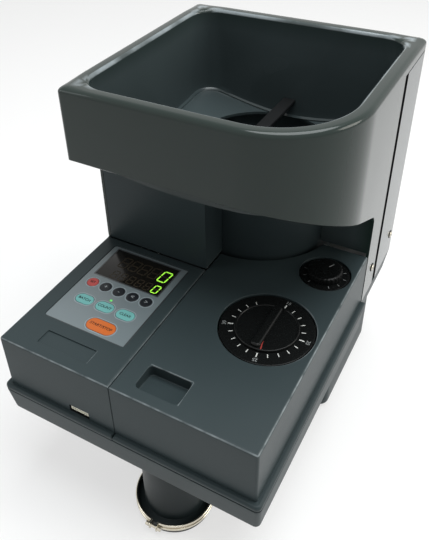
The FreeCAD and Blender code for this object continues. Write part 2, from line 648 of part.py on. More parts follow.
# Rear cover: back and both rear corners, with the vents, inlet and switch openings
rear_z = (lip_low, hopper_top - s.rim_drop - s.seam)
rear_y = (side_back + s.slot_width, back)
inlet_z = deck + s.inlet_rise
switch_z = deck + s.switch_rise
rear_body = plate("rear_outside", (-half, half), rear_y, rear_z,
                  (s.seam, s.seam, s.hopper_small_corner, s.hopper_small_corner))
rear_room = block("rear_room", (-half + wall, half - wall), (rear_y[0] - past, back - wall),
                  through(rear_z[0], rear_z[1]))
inlet_hole = block("inlet_hole", inlet_x, through(back - wall, back), around(inlet_z, s.inlet_height))
switch_hole = block("switch_hole", switch_x, through(back - wall, back), around(switch_z, s.switch_height))
vents = []
for number in range(int(plain(s.vent_count))):
    x = s.vent_pitch * number - s.vent_pitch * (s.vent_count - 1) / 2
    vents.append(block(f"vent_{number}", around(x, s.vent_width), through(back - wall, back),
                       (deck + s.vent_rise, deck + s.vent_rise + s.vent_height)))
part("rear_cover", cut("rear_cut", rear_body, rear_room, inlet_hole, switch_hole, *vents))

# Feed drum: the round wall over the disc, with the coin gate at its front
drum_wall = rod("drum_wall", "z", drum_at, s.drum_radius, (track, funnel_under - s.seam))
drum_bore = rod("drum_bore", "z", drum_at, drum_inner, (track - past, funnel_under))
coin_gate = block("coin_gate", around(s.track_across, s.coin_gate_width),
                  (front + s.gate_setback, front + s.drum_setback),
                  (track - past, track + s.coin_gate_height))
part("feed_drum", cut("drum_cut", drum_wall, drum_bore, coin_gate))

# Feed disc with its centre cone, level with the track, on a shaft with a pulley
disc_plate = rod("disc_plate", "z", drum_at, drum_inner - 2 * s.disc_clearance, (track - s.disc_thick, track))
disc_cone = cone("disc_cone", drum_at, (s.disc_cone_radius, s.disc_shaft_radius),
                 (track, track + s.disc_cone_height))
bridge_top = chassis_low - s.bridge_drop
bridge_low = bridge_top - s.bridge_thick
bearing_top = bridge_top + s.bearing_height
pulley_top = bridge_low - wall
pulley_z = (pulley_top - s.pulley_height, pulley_top)
part("feed_disc", join("disc_solid", disc_plate, disc_cone))
part("disc_shaft",
     rod("disc_shaft_rod", "z", drum_at, s.disc_shaft_radius, (pulley_z[0], track - s.disc_thick)))
disc_pulley = rod("disc_pulley_rim", "z", drum_at, s.disc_pulley_radius, pulley_z)
disc_pulley_bore = rod("disc_pulley_bore", "z", drum_at, s.disc_shaft_radius,
                       through(pulley_z[0], pulley_z[1]))
part("disc_pulley", cut("disc_pulley_cut", disc_pulley, disc_pulley_bore))

# Bearing bridge hung under the chassis, with the disc's bearing on it
bridge_x = (s.drum_across - s.drum_radius - s.bridge_width, s.drum_across + s.drum_radius + s.bridge_width)
bridge_y = around(drum_at[1], s.bridge_width)
bridge_bar = block("bridge_bar", bridge_x, bridge_y, (bridge_low, bridge_top))
bridge_legs = [block("bridge_leg_left", (bridge_x[0], bridge_x[0] + s.bridge_width / 2), bridge_y,
                     (bridge_low, chassis_low)),
               block("bridge_leg_right", (bridge_x[1] - s.bridge_width / 2, bridge_x[1]), bridge_y,
                     (bridge_low, chassis_low))]
bridge_bore = rod("bridge_bore", "z", drum_at, s.disc_shaft_radius + s.running_fit,
                  through(bridge_low, bearing_top))
part("bearing_bridge", cut("bridge_cut", join("bridge_solid", bridge_bar, *bridge_legs), bridge_bore))
bearing_ring = rod("bearing_ring", "z", drum_at, s.bearing_radius, (bridge_top, bearing_top))
bearing_bore = rod("bearing_bore", "z", drum_at, s.disc_shaft_radius + s.running_fit,
                   through(bridge_top, bearing_top))
part("disc_bearing", cut("bearing_cut", bearing_ring, bearing_bore))

# Main motor on the pedestal's floor, its pulley and the drive belt to the disc
motor_low = floor_low + wall
motor_top = motor_low + s.motor_height
part("main_motor", rod("motor_can", "z", motor_at, s.motor_radius, (motor_low, motor_top)))
motor_shaft = rod("motor_shaft", "z", motor_at, s.motor_shaft_radius, (motor_top + s.moving_gap, pulley_z[1]))
motor_rim = rod("motor_rim", "z", motor_at, s.motor_pulley_radius, pulley_z)
part("motor_pulley", join("motor_pulley_solid", motor_shaft, motor_rim))
belt_z = (pulley_z[0] + (s.pulley_height - s.belt_height) / 2,
          pulley_z[0] + (s.pulley_height + s.belt_height) / 2)
part("drive_belt", belt("drive_belt_loop", (*motor_at, s.motor_pulley_radius + s.moving_gap),
                        (*drum_at, s.disc_pulley_radius + s.moving_gap), s.belt_thick, belt_z))

# Transport: two rollers over the track, in brackets, with a flat belt that carries the coins
belt_run = s.roller_radius + s.moving_gap + s.transport_belt_thick
roller_z = track + s.coin_height + belt_run
roller_x = around(s.track_across, s.roller_width)
ear_x = (s.track_across - s.bracket_reach, s.track_across + s.bracket_reach)
drive_y = front + s.drive_roller_setback
idler_y = front + s.idler_setback
gearmotor_x = (s.gearmotor_across, s.gearmotor_across + s.gearmotor_length)
for name, y, shaft_low in (("drive_roller", drive_y, gearmotor_x[1] + s.moving_gap),
                           ("idler_roller", idler_y, ear_x[0] - s.bracket_thick - s.seam)):
    drum = rod(f"{name}_drum", "x", (y, roller_z), s.roller_radius, roller_x)
    shaft = rod(f"{name}_shaft", "x", (y, roller_z), s.roller_shaft_radius,
                (shaft_low, ear_x[1] + s.bracket_thick + s.seam))
    part(name, join(f"{name}_solid", drum, shaft))
belt_half = s.roller_width / 2 - s.moving_gap
part("transport_belt", belt("transport_belt_loop", (idler_y, roller_z, s.roller_radius + s.moving_gap),
                            (drive_y, roller_z, s.roller_radius + s.moving_gap), s.transport_belt_thick,
                            (s.track_across - belt_half, s.track_across + belt_half), "YZ_Plane"))
ears = []
for name, y in (("drive", drive_y), ("idler", idler_y)):
    for side, low in (("left", ear_x[0] - s.bracket_thick), ("right", ear_x[1])):
        ear = block(f"{name}_{side}_ear", (low, low + s.bracket_thick),
                    (y - s.roller_radius, y + s.roller_radius),
                    (track, roller_z + s.roller_shaft_radius * 2))
        bore = rod(f"{name}_{side}_bore", "x", (y, roller_z), s.roller_shaft_radius + s.running_fit,
                   through(low, low + s.bracket_thick))
        ears.append(cut(f"{name}_{side}_bracket", ear, bore))
part("roller_brackets", group("bracket_group", *ears))

# Gearmotor that turns the drive roller, in the column, with a saddle on the chassis
gearmotor_can = rod("gearmotor_can", "x", (drive_y, roller_z), s.gearmotor_radius, gearmotor_x)
saddle = block("gearmotor_saddle", gearmotor_x, around(drive_y, s.gearmotor_radius),
               (track, roller_z))
part("transport_motor", join("gearmotor_solid", gearmotor_can, saddle))

# Coin rails: a fixed one on the left and, on the right, the fence that the diameter dial moves
coin_half = (s.coin_size + s.coin_play) / 2
rail_y = (idler_y + s.roller_radius + s.seam, drive_y - s.roller_radius - s.seam)
rail_right = s.track_across - coin_half
fence_left = s.track_across + coin_half
fence_z = (track + s.moving_gap / 3, track + s.fence_height)
part("fixed_rail", block("rail_bar", (rail_right - s.rail_width, rail_right), rail_y,
                         (track, track + s.rail_height)))

# The scroll's groove is a spiral: its radius falls by one coin millimetre per step of the dial
coin_step = math.radians(plain(s.step_angle))


def scroll_radius(turn):
    """Groove radius, for a turn from rest towards larger coins."""
    return plain(s.scroll_start) - turn / coin_step


def scroll_edge(offset, turns):
    """One edge of the groove, as points on the spiral."""
    middle = Vector(plain(dial_at[0]), plain(dial_at[1]), 0)
    points = []
    for turn in turns:
        angle = math.pi + turn
        radius = scroll_radius(turn) + offset
        points.append(middle + Vector(radius * math.cos(angle), radius * math.sin(angle), 0))
    curve = Part.BSplineCurve()
    curve.interpolate(points)
    return curve


scroll_low = deck - s.scroll_drop - s.scroll_thick
scroll_z = (scroll_low, scroll_low + s.scroll_thick)
groove_half = plain(s.pin_radius) + plain(s.pin_play)
end_room = groove_half / (plain(s.scroll_start) / 2)
first_turn = (plain(s.smallest_coin) - plain(s.coin_size)) * coin_step - end_room
last_turn = (plain(s.largest_coin) - plain(s.coin_size)) * coin_step + end_room
GROOVE_POINTS = 33
turns = [first_turn + (last_turn - first_turn) * i / (GROOVE_POINTS - 1) for i in range(GROOVE_POINTS)]
outer, inner = scroll_edge(groove_half, turns), scroll_edge(-groove_half, turns)
groove_ends = [Part.LineSegment(outer.StartPoint, inner.StartPoint),
               Part.LineSegment(outer.EndPoint, inner.EndPoint)]
groove_wire = Part.Wire(Part.__sortEdges__([curve.toShape()
                                            for curve in (outer, groove_ends[0], inner, groove_ends[1])]))
groove = doc.addObject("Part::Feature", "scroll_groove")
groove.Shape = Part.Face(groove_wire).extrude(Vector(0, 0, plain(s.groove_depth + past)))
groove.Placement = Placement(Vector(0, 0, plain(scroll_low - past)), Rotation())
scroll_disc = rod("scroll_disc", "z", dial_at, s.scroll_radius, scroll_z)

# Fence with the arm and pin that ride in the scroll's groove; the arm passes under the scroll
pin_x = s.dial_across - s.scroll_start
fence_bar = block("fence_bar", (fence_left, fence_left + s.fence_width), rail_y, fence_z)
fence_arm = block("fence_arm", (fence_left, pin_x + s.pin_radius),
                  around(dial_at[1], s.fence_width), fence_z)
fence_pin = rod("fence_pin", "z", (pin_x, dial_at[1]), s.pin_radius,
                (fence_z[0], scroll_low + s.groove_depth - s.moving_gap))
part("diameter_fence", join("fence_solid", fence_bar, fence_arm, fence_pin))

# Diameter dial: the numbered plate on three posts, and the knob, shaft and scroll that turn in it
dial_top = deck - s.dial_sink
dial_plate = rod("dial_plate", "z", dial_at, s.dial_radius, (dial_top - s.dial_thick, dial_top))
post_reach = s.scroll_radius + s.dial_post_radius + s.moving_gap
POST_ANGLES = (-100, 0, 100)
dial_posts = [rod(f"dial_post_{number}", "z", (dial_at[0] + post_reach * math.cos(math.radians(angle)),
                                              dial_at[1] + post_reach * math.sin(math.radians(angle))),
                  s.dial_post_radius, (track, dial_top - s.dial_thick / 2)) for number,
                  angle in enumerate(POST_ANGLES)]
dial_bore = rod("dial_bore", "z", dial_at, s.dial_shaft_radius + s.running_fit,
                through(dial_top - s.dial_thick, dial_top))
part("diameter_dial", cut("dial_cut", join("dial_solid", dial_plate, *dial_posts), dial_bore))
knob_low = dial_top + s.moving_gap
knob_disc = rod("knob_disc", "z", dial_at, s.knob_radius, (knob_low, knob_low + s.knob_height))
fin_reach = s.knob_radius - s.fin_width / 4
knob_fin = plate("knob_fin", around(dial_at[0], s.fin_width),
                 (dial_at[1] - fin_reach, dial_at[1] + fin_reach), (knob_low, knob_low + s.fin_height),
                 s.fin_width / 3)
part("diameter_knob", join("knob_solid", knob_disc, knob_fin))
dial_shaft = rod("dial_shaft", "z", dial_at, s.dial_shaft_radius, (scroll_z[1] - s.seam, knob_low))
part("dial_scroll", cut("scroll_cut", join("scroll_solid", scroll_disc, dial_shaft), groove))

# Thickness dial on its post ring, the knob with its screw, and the gate that the screw lifts
thick_plate = rod("thick_plate", "z", thick_at, s.thick_radius, (dial_top - s.dial_thick, dial_top))
thick_reach = s.thick_radius - s.dial_post_radius * 2
thick_posts = [rod(f"thick_post_{name}", "z", (thick_at[0], thick_at[1] + side), s.dial_post_radius,
                   (track, dial_top - s.dial_thick / 2)) for name,
                   side in (("front", -thick_reach), ("back", thick_reach))]
thick_bore = rod("thick_bore", "z", thick_at, s.thick_shaft_radius + s.running_fit,
                 through(dial_top - s.dial_thick, dial_top))
part("thickness_dial", cut("thick_cut", join("thick_solid", thick_plate, *thick_posts), thick_bore))
thick_knob = rod("thick_knob_disc", "z", thick_at, s.thick_knob_radius,
                 (knob_low, knob_low + s.thick_knob_height))
thick_screw = rod("thick_screw", "z", thick_at, s.thick_shaft_radius, (track + s.moving_gap, knob_low))
part("thickness_knob", join("thick_knob_solid", thick_knob, thick_screw))
gate_z = (gate_top - s.gate_thick, gate_top)
gate_y = front + s.gate_setback
gate_nut = rod("gate_nut", "z", thick_at, s.thick_shaft_radius * 2, gate_z)
gate_arm = block("gate_arm", (guide_x, thick_at[0]), around(thick_at[1], s.gate_width), gate_z)
gate_cross = block("gate_cross", (guide_x - s.gate_width, guide_x),
                   (gate_y - s.gate_width / 2, thick_at[1] + s.gate_width / 2), gate_z)
gate_bar = block("gate_bar", (s.track_across, guide_x), around(gate_y, s.gate_width), gate_z)
blade_low = track + s.coin_height
gate_blade = block("gate_blade", (s.track_across - s.gate_blade, s.track_across + s.gate_blade),
                   around(gate_y, s.gate_width), (blade_low, gate_z[1]))
gate_bores = [rod("gate_screw_bore", "z", thick_at, s.thick_shaft_radius + s.running_fit,
                  through(gate_z[0], gate_z[1])),
              rod("gate_guide_bore", "z", guide_at, s.guide_radius + s.running_fit,
                  through(gate_z[0], gate_z[1]))]
gate_solid = join("gate_solid", gate_nut, gate_arm, gate_cross, gate_bar, gate_blade)
part("thickness_gate", cut("gate_cut", gate_solid, *gate_bores))

# Coin cover: the right half of the lower casing, hinged under the hopper, lifted by the finger pocket
cover_left = seam_x + s.seam / 2
right_lip = plate("coin_lip", (cover_left, tray_out), (tray_front, cover_back),
                  (lip_low + s.lip_play, lip_top),
                  (s.seam, s.tray_corner, s.seam, s.seam))
right_box = block("coin_box", (cover_left, half), (front, cover_back), (lip_low + s.lip_play, deck))
right_room = block("coin_room", (cover_left - past, half - wall), (front + wall, cover_back + past),
                   (lip_low - past, deck - wall))
drum_clear = rod("drum_clear", "z", drum_at, s.drum_radius + s.cover_lift_room, (lip_low, deck + past))
dial_hole = rod("dial_hole", "z", dial_at, s.dial_radius + s.dial_gap, through(deck - wall, deck))
thick_hole = rod("thick_hole", "z", thick_at, s.thick_radius + s.dial_gap, through(deck - wall, deck))
pocket_x = around(s.pocket_across, s.pocket_width)
pocket_y = (front + s.pocket_setback, front + s.pocket_setback + s.pocket_length)


def pocket_points(grow, top):
    """The pocket in side view: a ramp down from the front to a short flat floor at the back."""
    low = deck - s.pocket_depth - grow
    return [(pocket_y[0] - grow, top), (pocket_y[1] - s.pocket_flat, low), (pocket_y[1] + grow, low),
            (pocket_y[1] + grow, top)]


pocket_shell = side_profile("pocket_shell", pocket_points(s.pocket_floor, deck - wall / 2),
                            (pocket_x[0] - s.pocket_floor, pocket_x[1] + s.pocket_floor))
pocket_room = side_profile("pocket_room", pocket_points(0, deck + s.seam), pocket_x)
hinge_at = (cover_back + s.hinge_behind, deck - s.hinge_drop)
knuckle_x = (s.drum_across + s.drum_radius + s.hinge_clear, half - s.hinge_side)
knuckle = rod("knuckle", "x", hinge_at, s.knuckle_radius, knuckle_x)
knuckle_web = block("knuckle_web", knuckle_x, (cover_back - s.knuckle_radius * 2, cover_back),
                    (deck - s.hinge_drop - s.knuckle_radius, deck - wall / 2))
knuckle_bore = rod("knuckle_bore", "x", hinge_at, s.hinge_pin_radius + s.running_fit,
                   through(knuckle_x[0], knuckle_x[1]))
cover_shell = cut("coin_shell", join("coin_solid", right_lip, right_box), right_room, drum_clear,
                  dial_hole, thick_hole)
part("coin_cover", cut("coin_cut", join("coin_with_pocket", cover_shell, pocket_shell, knuckle, knuckle_web),
                       pocket_room, knuckle_bore))

# Hinge bracket: two ears on the chassis and the pin through them
ear_low_x = knuckle_x[0] - s.moving_gap - s.ear_thick
ear_high_x = knuckle_x[1] + s.moving_gap
hinge_ears = [block(f"hinge_ear_{name}", (low, low + s.ear_thick),
                    (hinge_at[0] - s.knuckle_radius, hinge_at[0] + s.knuckle_radius),
                    (track, hinge_at[1] + s.knuckle_radius - s.seam)) for name,
                    low in (("left", ear_low_x), ("right", ear_high_x))]
hinge_pin = rod("hinge_pin", "x", hinge_at, s.hinge_pin_radius, (ear_low_x, ear_high_x + s.ear_thick))
part("cover_hinge", join("hinge_solid", *hinge_ears, hinge_pin))

# Stop solenoid beside the track, and its plunger
solenoid_x = (s.solenoid_across, s.solenoid_across + s.solenoid_length)
solenoid_y = around(front + s.solenoid_setback, s.solenoid_width)
plunger_z = track + s.solenoid_height / 2
solenoid_box = block("solenoid_box", solenoid_x, solenoid_y, (track, track + s.solenoid_height))
solenoid_bore = rod("solenoid_bore", "x", (front + s.solenoid_setback, plunger_z),
                    s.plunger_radius + s.running_fit,
                    (solenoid_x[0] - past, solenoid_x[1] - wall))
part("stop_solenoid", cut("solenoid_cut", solenoid_box, solenoid_bore))
part("stop_plunger", rod("plunger_rod", "x", (front + s.solenoid_setback, plunger_z), s.plunger_radius,
                         (solenoid_x[0] - s.plunger_reach,
                          solenoid_x[1] - wall - s.plunger_travel - s.moving_gap)))

# Coin sensor beside the fixed rail, with an eye that looks over it
sensor_y = (front + s.sensor_setback, front + s.sensor_setback + s.sensor_length)
sensor_right = rail_right - s.rail_width
sensor_box = block("sensor_box", (sensor_right - s.sensor_width, sensor_right), sensor_y,
                   (track, track + s.sensor_height))
sensor_eye = block("sensor_eye", (sensor_right - past, rail_right), (sensor_y[0] + wall, sensor_y[1] - wall),
                   (track + s.rail_height, track + s.sensor_height))
part("coin_sensor", join("sensor_solid", sensor_box, sensor_eye))

# Coin tube: from under the chassis through the tray, with a flange on the tray's floor and a collar
tube_inner = s.tube_radius - s.tube_wall
collar_z = (s.tube_end, s.tube_end + s.collar_height)
tube_wall = rod("tube_outside", "z", tube_at, s.tube_radius, (s.tube_end, chassis_low))
tube_flange = rod("tube_flange", "z", tube_at, s.flange_radius, (tray_floor, tray_floor + s.flange_thick))
tube_front = block("tube_front_room", (s.tube_across - s.flange_radius, s.tube_across + s.flange_radius),
                   (front - spare, front - s.lip_overhang + s.tray_draft + wall + s.tray_draft / 2),
                   (tray_floor, chassis_low))
flange_clear = cut("flange_clear", tube_flange, tube_front)
tube_collar = rod("tube_collar", "z", tube_at, s.collar_radius, collar_z)
tube_bore = rod("tube_bore", "z", tube_at, tube_inner, through(s.tube_end, chassis_low))
part("coin_tube", cut("tube_cut", join("tube_solid", tube_wall, flange_clear, tube_collar), tube_bore))

# Bag clamp: a sprung band round the collar with two lugs, drawn together by a screw
band_z = (s.tube_end + s.band_lift, s.tube_end + s.band_lift + s.band_height)
band_in = s.collar_radius + s.running_fit
band_out = band_in + s.band_thick
band_ring = rod("band_ring", "z", tube_at, band_out, band_z)
band_bore = rod("band_bore", "z", tube_at, band_in, through(band_z[0], band_z[1]))
lug_y = (tube_at[1] - band_out - s.lug_reach, tube_at[1] - band_in)
lugs = [block(f"lug_{name}", (low, low + s.lug_thick), lug_y, band_z)
        for name,
        low in (("left", s.tube_across - s.lug_gap / 2 - s.lug_thick),
                ("right", s.tube_across + s.lug_gap / 2))]
band_split = block("band_split", around(s.tube_across, s.lug_gap),
                   (lug_y[0] - past, tube_at[1]), through(band_z[0], band_z[1]))
clamp_at = (lug_y[0] + s.lug_reach / 2, (band_z[0] + band_z[1]) / 2)
lug_span = (s.tube_across - s.lug_gap / 2 - s.lug_thick, s.tube_across + s.lug_gap / 2 + s.lug_thick)
lug_bore = rod("lug_bore", "x", clamp_at, s.clamp_screw_radius + s.running_fit,
               through(lug_span[0], lug_span[1]))
part("bag_clamp", cut("clamp_cut", join("clamp_solid", band_ring, *lugs), band_bore, band_split, lug_bore))
clamp_rod = rod("clamp_rod", "x", clamp_at, s.clamp_screw_radius,
                (lug_span[0] - s.clamp_head_height, lug_span[1] + s.clamp_head_height))
clamp_head = rod("clamp_head", "x", clamp_at, s.lug_reach / 2,
                 (lug_span[0] - s.clamp_head_height, lug_span[0] - s.running_fit))
clamp_nut = rod("clamp_nut", "x", clamp_at, s.lug_reach / 2,
                (lug_span[1] + s.running_fit, lug_span[1] + s.clamp_head_height))
part("clamp_screw", join("clamp_screw_solid", clamp_rod, clamp_head, clamp_nut))

# Power inlet and rocker switch on the rear cover
inlet_box = block("inlet_box", inlet_x, (back - s.inlet_depth, back + s.inlet_lip),
                  around(inlet_z, s.inlet_height))
inlet_plate = block("inlet_plate", (inlet_x[0] - s.inlet_flange, inlet_x[1] + s.inlet_flange),
                    (back, back + s.inlet_lip),
                    (inlet_z - s.inlet_height / 2 - s.socket_wall,
                     inlet_z + s.inlet_height / 2 + s.socket_wall))
inlet_socket = block("inlet_socket", (inlet_x[0] + s.socket_wall, inlet_x[1] - s.socket_wall),
                     (back - s.socket_depth, back + s.inlet_lip + past),
                     (inlet_z - s.inlet_height / 2 + s.socket_wall,
                      inlet_z + s.inlet_height / 2 - s.socket_wall))
part("power_inlet", cut("inlet_cut", join("inlet_solid", inlet_box, inlet_plate), inlet_socket))
switch_span_z = around(switch_z, s.switch_height)
switch_box = block("switch_box", switch_x, (back - s.switch_depth, back + s.inlet_lip), switch_span_z)
switch_plate = block("switch_plate", (switch_x[0] - s.switch_flange, switch_x[1] + s.switch_flange),
                     (back, back + s.inlet_lip),
                     (switch_span_z[0] - s.switch_flange, switch_span_z[1] + s.switch_flange))
switch_room = block("switch_room", (switch_x[0] + s.switch_flange, switch_x[1] - s.switch_flange),
                    (back - s.switch_depth + s.switch_flange, back + s.inlet_lip + past),
                    (switch_span_z[0] + s.switch_flange, switch_span_z[1] - s.switch_flange))
part("switch_frame", cut("switch_cut", join("switch_solid", switch_box, switch_plate), switch_room))
rocker_half = s.switch_width / 2 - s.switch_flange - s.rocker_play
rocker_z = (switch_span_z[0] + s.switch_flange + s.rocker_play,
            switch_span_z[1] - s.switch_flange - s.rocker_play)
rocker_at = (switch_middle, back - s.rocker_stand)
rocker_cap = rod("rocker_cap", "z", rocker_at, rocker_half, rocker_z)
rocker_trim = block("rocker_trim", (switch_middle - s.switch_width, switch_middle + s.switch_width),
                    (back + s.inlet_lip + s.rocker_stand, back + s.switch_width),
                    (switch_span_z[0], switch_span_z[1]))
rocker_deep = block("rocker_deep", (switch_middle - s.switch_width, switch_middle + s.switch_width),
                    (back - s.switch_width - s.rocker_stand, back - s.rocker_stand * 2),
                    (switch_span_z[0], switch_span_z[1]))
rocker_pin = rod("rocker_pin", "z", rocker_at, s.screw_radius / 2,
                 (rocker_z[0] - s.rocker_play, rocker_z[1] + s.rocker_play))
part("power_rocker",
     join("rocker_solid", cut("rocker_cut", rocker_cap, rocker_trim, rocker_deep), rocker_pin))

# Mains transformer on the pedestal's floor and the power board on posts over the tray's floor
core_x = around(s.transformer_across, s.transformer_width)
core_y = around(front + s.transformer_setback, s.transformer_length)
core_z = (motor_low, motor_low + s.transformer_height)
core = block("transformer_core", core_x,
             (core_y[0] + s.transformer_length / 4, core_y[1] - s.transformer_length / 4), core_z)
coil = block("transformer_coil",
             (core_x[0] + s.transformer_width / 5, core_x[1] - s.transformer_width / 5), core_y,
             (core_z[0] + s.transformer_height / 6, core_z[1] - s.transformer_height / 6))
part("transformer", join("transformer_solid", core, coil))
power_x = around(s.power_board_across, s.power_board_width)
power_y = around(front + s.power_board_setback, s.power_board_length)
power_z = (tray_floor + s.power_board_lift, tray_floor + s.power_board_lift + s.board_thick)
power_sheet = block("power_sheet", power_x, power_y, power_z)
power_posts = [rod(f"power_post_{i}_{j}", "z", (x, y), wall, (tray_floor, power_z[0] + s.seam))
               for i, x in enumerate((power_x[0] + wall, power_x[1] - wall)) for j,
               y in enumerate((power_y[0] + wall, power_y[1] - wall))]
capacitors = [rod(f"capacitor_{number}", "z",
                  (power_x[0] + s.power_board_width * (number + 1) / 4,
                   power_y[1] - s.power_board_length / 4),
                  s.power_board_width / 12,
                  (power_z[0], power_z[1] + s.power_board_width / 5)) for number in range(3)]
heat_sink = block("heat_sink", (power_x[0] + s.power_board_width / 4, power_x[1] - s.power_board_width / 4),
                  (power_y[0] + s.power_board_length / 6, power_y[0] + s.power_board_length / 4),
                  (power_z[0], power_z[1] + s.power_board_width / 4))
part("power_board", join("power_solid", power_sheet, *power_posts, *capacitors, heat_sink))

# Side screws: through the hopper's legs and the rear cover, the same on both sides
screws = []
for side, name in ((1, "right"), (-1, "left")):
    for spot, y, drop in (("strip", side_back - s.strip_screw_inset, s.strip_screw_drop),
                          ("rear", back - s.rear_screw_inset, s.rear_screw_drop)):
        outside = (half, half + s.screw_head_height)
        head_x = outside if side > 0 else (-outside[1], -outside[0])
        screws.append(rod(f"screw_{name}_{spot}", "x", (y, deck - drop),
                          s.screw_head_radius, head_x))
part("side_screws", group("screw_group", *screws))

doc.recompute()

faults = [item.Label for item in doc.Objects if {"Invalid", "Error"} & set(item.State)]
faults += [label for label, thing in parts.items() if thing.Shape.isNull() or not thing.Shape.isValid()]
if faults:
    raise SystemExit(f"failed pieces: {faults}")

os.makedirs("parts", exist_ok=True)
for label, thing in parts.items():
    thing.Shape.exportStep(f"parts/{label}.step")
print(len(parts), "sub-parts written")
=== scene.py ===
"""Looks of a desktop coin counting machine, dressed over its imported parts. Sizes are in millimetres,
and each mesh is written in metres."""

import math

import bpy
import numpy as np
from mathutils import Matrix, Vector


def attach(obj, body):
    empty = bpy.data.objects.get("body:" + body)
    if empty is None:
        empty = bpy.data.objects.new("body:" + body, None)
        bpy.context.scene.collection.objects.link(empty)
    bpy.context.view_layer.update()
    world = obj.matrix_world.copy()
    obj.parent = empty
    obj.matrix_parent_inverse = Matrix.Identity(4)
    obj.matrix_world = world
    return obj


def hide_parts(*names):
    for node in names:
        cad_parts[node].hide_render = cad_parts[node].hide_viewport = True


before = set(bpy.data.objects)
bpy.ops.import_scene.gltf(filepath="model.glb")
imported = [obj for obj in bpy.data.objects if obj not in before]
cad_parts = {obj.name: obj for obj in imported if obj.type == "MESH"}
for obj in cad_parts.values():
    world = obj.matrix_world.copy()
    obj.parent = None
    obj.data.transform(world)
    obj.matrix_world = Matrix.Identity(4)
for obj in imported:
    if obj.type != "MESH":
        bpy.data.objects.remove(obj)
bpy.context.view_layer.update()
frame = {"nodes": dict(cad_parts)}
nodes = frame["nodes"]

# BASE TRAY
# The shallow tub of moulded grey ABS that everything stands in. Its walls lean in towards the floor,
# the front length is wider than the rear one, and the tube drops through a hole in its floor.
MM = 0.001
DECK = 186.0
FRONT, BACK = -184.925, 189.075
LIP_TOP, LIP_LOW = 126.0, 120.0
LIP_OUT, LIP_FRONT = 133.0, -189.925
TUB_FLOOR, COVER_BACK = 90.0, 76.075


def ring(x, y, radii, z, grow=0.0, arc=10, side=8):
    """A level loop round a rectangle: a quarter circle at each corner, and each side divided evenly.
    Grow moves the whole loop outwards, so every loop of a stack has the same number of points."""
    x0, x1, y0, y1 = x[0] - grow, x[1] + grow, y[0] - grow, y[1] + grow
    r = np.maximum(np.broadcast_to(np.asarray(radii, float), 4) + grow, 0.02)
    middle_x = np.array([x0 + r[0], x1 - r[1], x1 - r[2], x0 + r[3]])[:, None]
    middle_y = np.array([y0 + r[0], y0 + r[1], y1 - r[2], y1 - r[3]])[:, None]
    turn = np.radians(np.array([180, 270, 0, 90])[:, None] + np.linspace(0, 90, arc + 1))
    px, py = middle_x + r[:, None] * np.cos(turn), middle_y + r[:, None] * np.sin(turn)
    share = np.linspace(0, 1, side + 1)[1:-1]
    along_x = px[:, -1:] + (np.roll(px[:, :1], -1, 0) - px[:, -1:]) * share
    along_y = py[:, -1:] + (np.roll(py[:, :1], -1, 0) - py[:, -1:]) * share
    px, py = np.hstack([px, along_x]).ravel(), np.hstack([py, along_y]).ravel()
    return np.stack([px, py, np.broadcast_to(float(z), px.shape)], -1)


def lift(flat, z):
    """A flat loop raised to one height, or to a height for each of its points."""
    return np.column_stack([flat, np.broadcast_to(z, len(flat))])


def circle(points):
    """Directions spread evenly round a circle."""
    turn = np.linspace(0, 2 * np.pi, points, endpoint=False)
    return np.column_stack([np.cos(turn), np.sin(turn)])


def disc(middle, radius, z, points=72):
    """A level circle of points."""
    return lift(np.array(middle) + radius * circle(points), z)


def edge_up(loop, z, edge, steps=5):
    """Loops of a rounded upper edge: a quarter circle from the wall in to the flat top."""
    return [loop(z - edge * (1 - math.sin(a)), -edge * (1 - math.cos(a)))
            for a in np.linspace(0, math.pi / 2, steps)]


def edge_down(loop, z, edge, steps=5):
    """Loops of a rounded lower edge: a quarter circle from the flat underside out to the wall."""
    return [loop(z + edge * (1 - math.sin(a)), -edge * (1 - math.cos(a)))
            for a in np.linspace(math.pi / 2, 0, steps)]


def skin(rings, wrap=False):
    """Corners and faces of a surface through a stack of loops. The first and last loop get a flat
    face, or the stack is closed on itself when wrap is set."""
    grid = np.stack(rings)
    index = np.arange(grid.shape[0] * grid.shape[1]).reshape(grid.shape[:2])
    rows = np.vstack([index, index[:1]]) if wrap else index
    low, high = rows[:-1], rows[1:]
    quads = np.stack([low, np.roll(low, -1, 1), np.roll(high, -1, 1), high], -1).reshape(-1, 4)
    ends = [] if wrap else [index[0, ::-1].tolist(), index[-1].tolist()]
    return grid.reshape(-1, 3), quads.tolist() + ends


def prism(x, y, corner, z, arc=10, side=8):
    """Skin of an upright block with plain edges, between two heights."""
    return skin([ring(x, y, corner, height, 0.0, arc, side) for height in z])


def turned(middle, profile, points=96, wrap=True):
    """A skin of revolution: each pair is a radius and a height, from the first pair to the last."""
    return skin([disc(middle, radius, height, points) for radius, height in profile], wrap)


def rod(middle, radius, z, points=72):
    """Skin of an upright cylinder between two heights."""
    return turned(middle, [(radius, height) for height in z], points, wrap=False)


def soft_block(x, y, corner, z, edges, steps=(3, 3), arc=10, side=8, between=()):
    """Skin of an upright block whose lower and upper edges are rounded, with loops between them."""
    def loop(height, grow):
        return ring(x, y, corner, height, grow, arc, side)

    return skin(edge_down(loop, z[0], edges[0], steps[0]) + [loop(height, 0.0) for height in between]
                + edge_up(loop, z[1], edges[1], steps[1]))


def soft_top(x, y, corner, z, edge, steps=3, inset=0.0):
    """Skin of an upright block with a plain foot and a rounded upper edge, set in all round."""
    return skin([ring(x, y, corner, z[0], -inset)]
                + edge_up(lambda h, g: ring(x, y, corner, h, g - inset), z[1], edge, steps))


def polar(middle, radius, angle):
    """The spot at a radius and an angle in degrees round a middle."""
    turn = math.radians(angle)
    return middle[0] + radius * math.cos(turn), middle[1] + radius * math.sin(turn)


